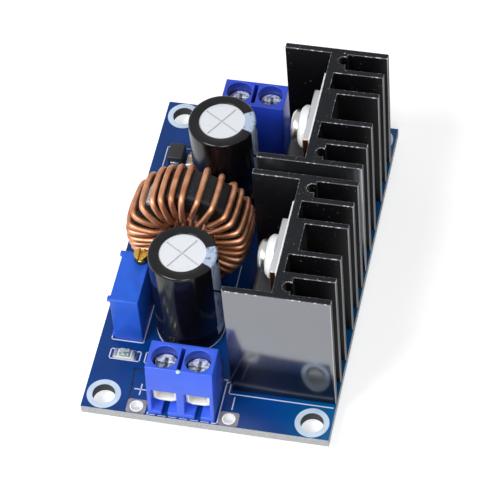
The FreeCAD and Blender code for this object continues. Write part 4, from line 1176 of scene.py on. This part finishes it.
@dataclass
class Solder:
    """Solder cones round every lead under the board."""

    height: float = 0.95
    land: float = 0.5

    def build(self, shop: Workshop) -> None:
        """Spin a hollow-sided cone for each lead."""
        shapes = [move(self.cone(width), x, y, 0.0) for x, y, width in self.places()]
        shop.piece("solder_cones", join(shapes), Finishes.SOLDER, replaces=("solder_joints",))

    def cone(self, width: float) -> Shape:
        """Make one cone with a lead of that width through it."""
        inner = width / 2
        outline = [(0, 0), (inner + self.land, 0), (inner + self.land * 0.92, -0.08)]
        outline += [(inner + self.land * 0.45, -0.3), (inner + self.land * 0.2, -0.6)]
        outline += [(inner + 0.03, -self.height), (0, -self.height - 0.02)]
        return lathe(outline, 20)

    def places(self) -> Iterable[Spot]:
        """List every lead's place and width."""
        for y in SINKS.values():
            for side in (-1, 1):
                yield 12.35, y + side * 9.15, 1.5
        for x, y in CAPACITORS.values():
            for side in (-1, 1):
                yield x, y + side * 2.5, 0.7
        for i in (-2, -1, 0, 1, 2):
            yield 7.4 - 2.2 * (i % 2), SINKS["input"] + i * 1.7, 0.9
        for i in (-1, 0, 1):
            yield 7.4, SINKS["output"] + i * 2.54, 0.9
        for x, y in TERMINALS.values():
            for side in (-1, 1):
                yield x + side * TERMINAL_PITCH / 2, y - math.copysign(2.55, y), 0.85
        for i in (-1, 0, 1):
            yield -15.315, -12.8 + i * 2.54, 0.6
        ring = RingInductor()
        route = ring.route()
        for lead in (route[0], route[-1]):
            yield lead.x, lead.y, ring.wire


@dataclass
class Studio:
    """Camera, lamps, world and floor."""

    camera_place: Spot = (69.70102, -241.02965, 329.26435)
    camera_aim: Spot = (-0.278352, -0.586074, 8.0)
    camera_roll: float = -5.569512
    lens: float = 198.353
    sensor: float = 36.0
    floor_level: float = -1.5
    floor_size: float = 3000.0
    floor_grey: float = 0.82
    floor_glow: float = 0.55
    sky: float = 0.36
    lamps: tuple[tuple[str, Spot, float, float], ...] = (
        ("key_lamp", (-220.0, -260.0, 430.0), 260.0, 2.1),
        ("front_lamp", (90.0, -330.0, 330.0), 160.0, 0.7),
    )

    def build(self) -> None:
        """Set up the picture."""
        self.build_camera()
        self.build_world()
        self.build_floor()
        for lamp in self.lamps:
            self.build_lamp(*lamp)
        bpy.context.scene.view_settings.view_transform = "Standard"

    def build_camera(self) -> None:
        """Place the camera at the photograph's view."""
        data = bpy.data.cameras.new("camera")
        data.lens = self.lens
        data.sensor_width = self.sensor
        data.clip_start = 0.01
        data.clip_end = 10.0
        camera = placed("camera", data)
        roll = Matrix.Rotation(math.radians(self.camera_roll), 4, "Z")
        camera.matrix_world = aimed(Vector(self.camera_place) * MM, Vector(self.camera_aim) * MM) @ roll
        bpy.context.scene.camera = camera

    def build_lamp(self, name: str, place: Spot, size: float, power: float) -> None:
        """Hang one soft lamp aimed at the module."""
        data = bpy.data.lights.new(name, "AREA")
        data.shape = "DISK"
        data.size = size * MM
        data.energy = power
        placed(name, data).matrix_world = aimed(Vector(place) * MM, Vector((0, 0, 0)))

    def seen(self, graph: Graph) -> Value:
        """Give 1 where the camera, metal or glass sees the surface."""
        total = graph.add("ShaderNodeLightPath", output="Is Camera Ray")
        for name in ("Is Glossy Ray", "Is Transmission Ray"):
            total = total.maths("MAXIMUM", total, graph.add("ShaderNodeLightPath", output=name))
        return total

    def build_world(self) -> None:
        """Light the module softly from all round and show white behind it."""
        graph = Graph(bpy.data.worlds.new("studio"))
        bpy.context.scene.world = graph.owner
        inputs = {"Value": self.seen(graph), "To Min": self.sky, "To Max": 1.0}
        level = graph.add("ShaderNodeMapRange", inputs=inputs)
        glow = graph.add("ShaderNodeBackground", inputs={"Strength": level})
        graph.add("ShaderNodeOutputWorld", inputs={"Surface": glow})

    def build_floor(self) -> None:
        """Lay a pale floor that looks white and keeps the shadow."""
        graph = Graph(bpy.data.materials.new("floor"))
        diffuse = graph.add("ShaderNodeBsdfDiffuse", inputs={"Color": (self.floor_grey,) * 3})
        glow = graph.add("ShaderNodeEmission", inputs={"Strength": self.seen(graph) * self.floor_glow})
        both = graph.add("ShaderNodeAddShader", inputs={0: diffuse, 1: glow})
        graph.add("ShaderNodeOutputMaterial", inputs={"Surface": both})
        shape = bmesh.new()
        bmesh.ops.create_grid(shape, x_segments=1, y_segments=1, size=self.floor_size / 2 * MM)
        bmesh.ops.translate(shape, vec=(0, 0, self.floor_level * MM), verts=shape.verts)
        mesh = mesh_of("floor", shape)
        mesh.materials.append(graph.owner)
        floor = placed("floor", mesh)
        floor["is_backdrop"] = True


def corners(box: tuple[Vector, Vector]) -> list[list[float]]:
    """Turn a box's two corners into plain lists."""
    return [[float(part) for part in corner] for corner in box]


def main() -> None:
    """Load the frame, dress every part and set up the picture."""
    logging.basicConfig(level=logging.INFO, format="%(name)s: %(message)s")
    shop = Workshop(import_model())
    packed = corners(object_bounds())
    parts = (
        Board(),
        PowerSide("output", "rectifier"),
        PowerSide("input", "regulator"),
        RingInductor(),
        Capacitor("output", (-24.0, 23.5)),
        Capacitor("input", (-19.0, 31.0)),
        ScrewTerminal("output", (-3.5, -28.7, 11.55)),
        # Painted shade: the input terminal, at the back, gets a darker blue than the front one.
        ScrewTerminal("input", colour=tint(38, 72, 204)),
        Trimmer(),
        SmallParts(),
        Solder(),
    )
    for part in parts:
        part.build(shop)
    Studio().build()
    {"cad": packed, "visual": corners(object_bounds())}


if __name__ == "__main__":
    main()
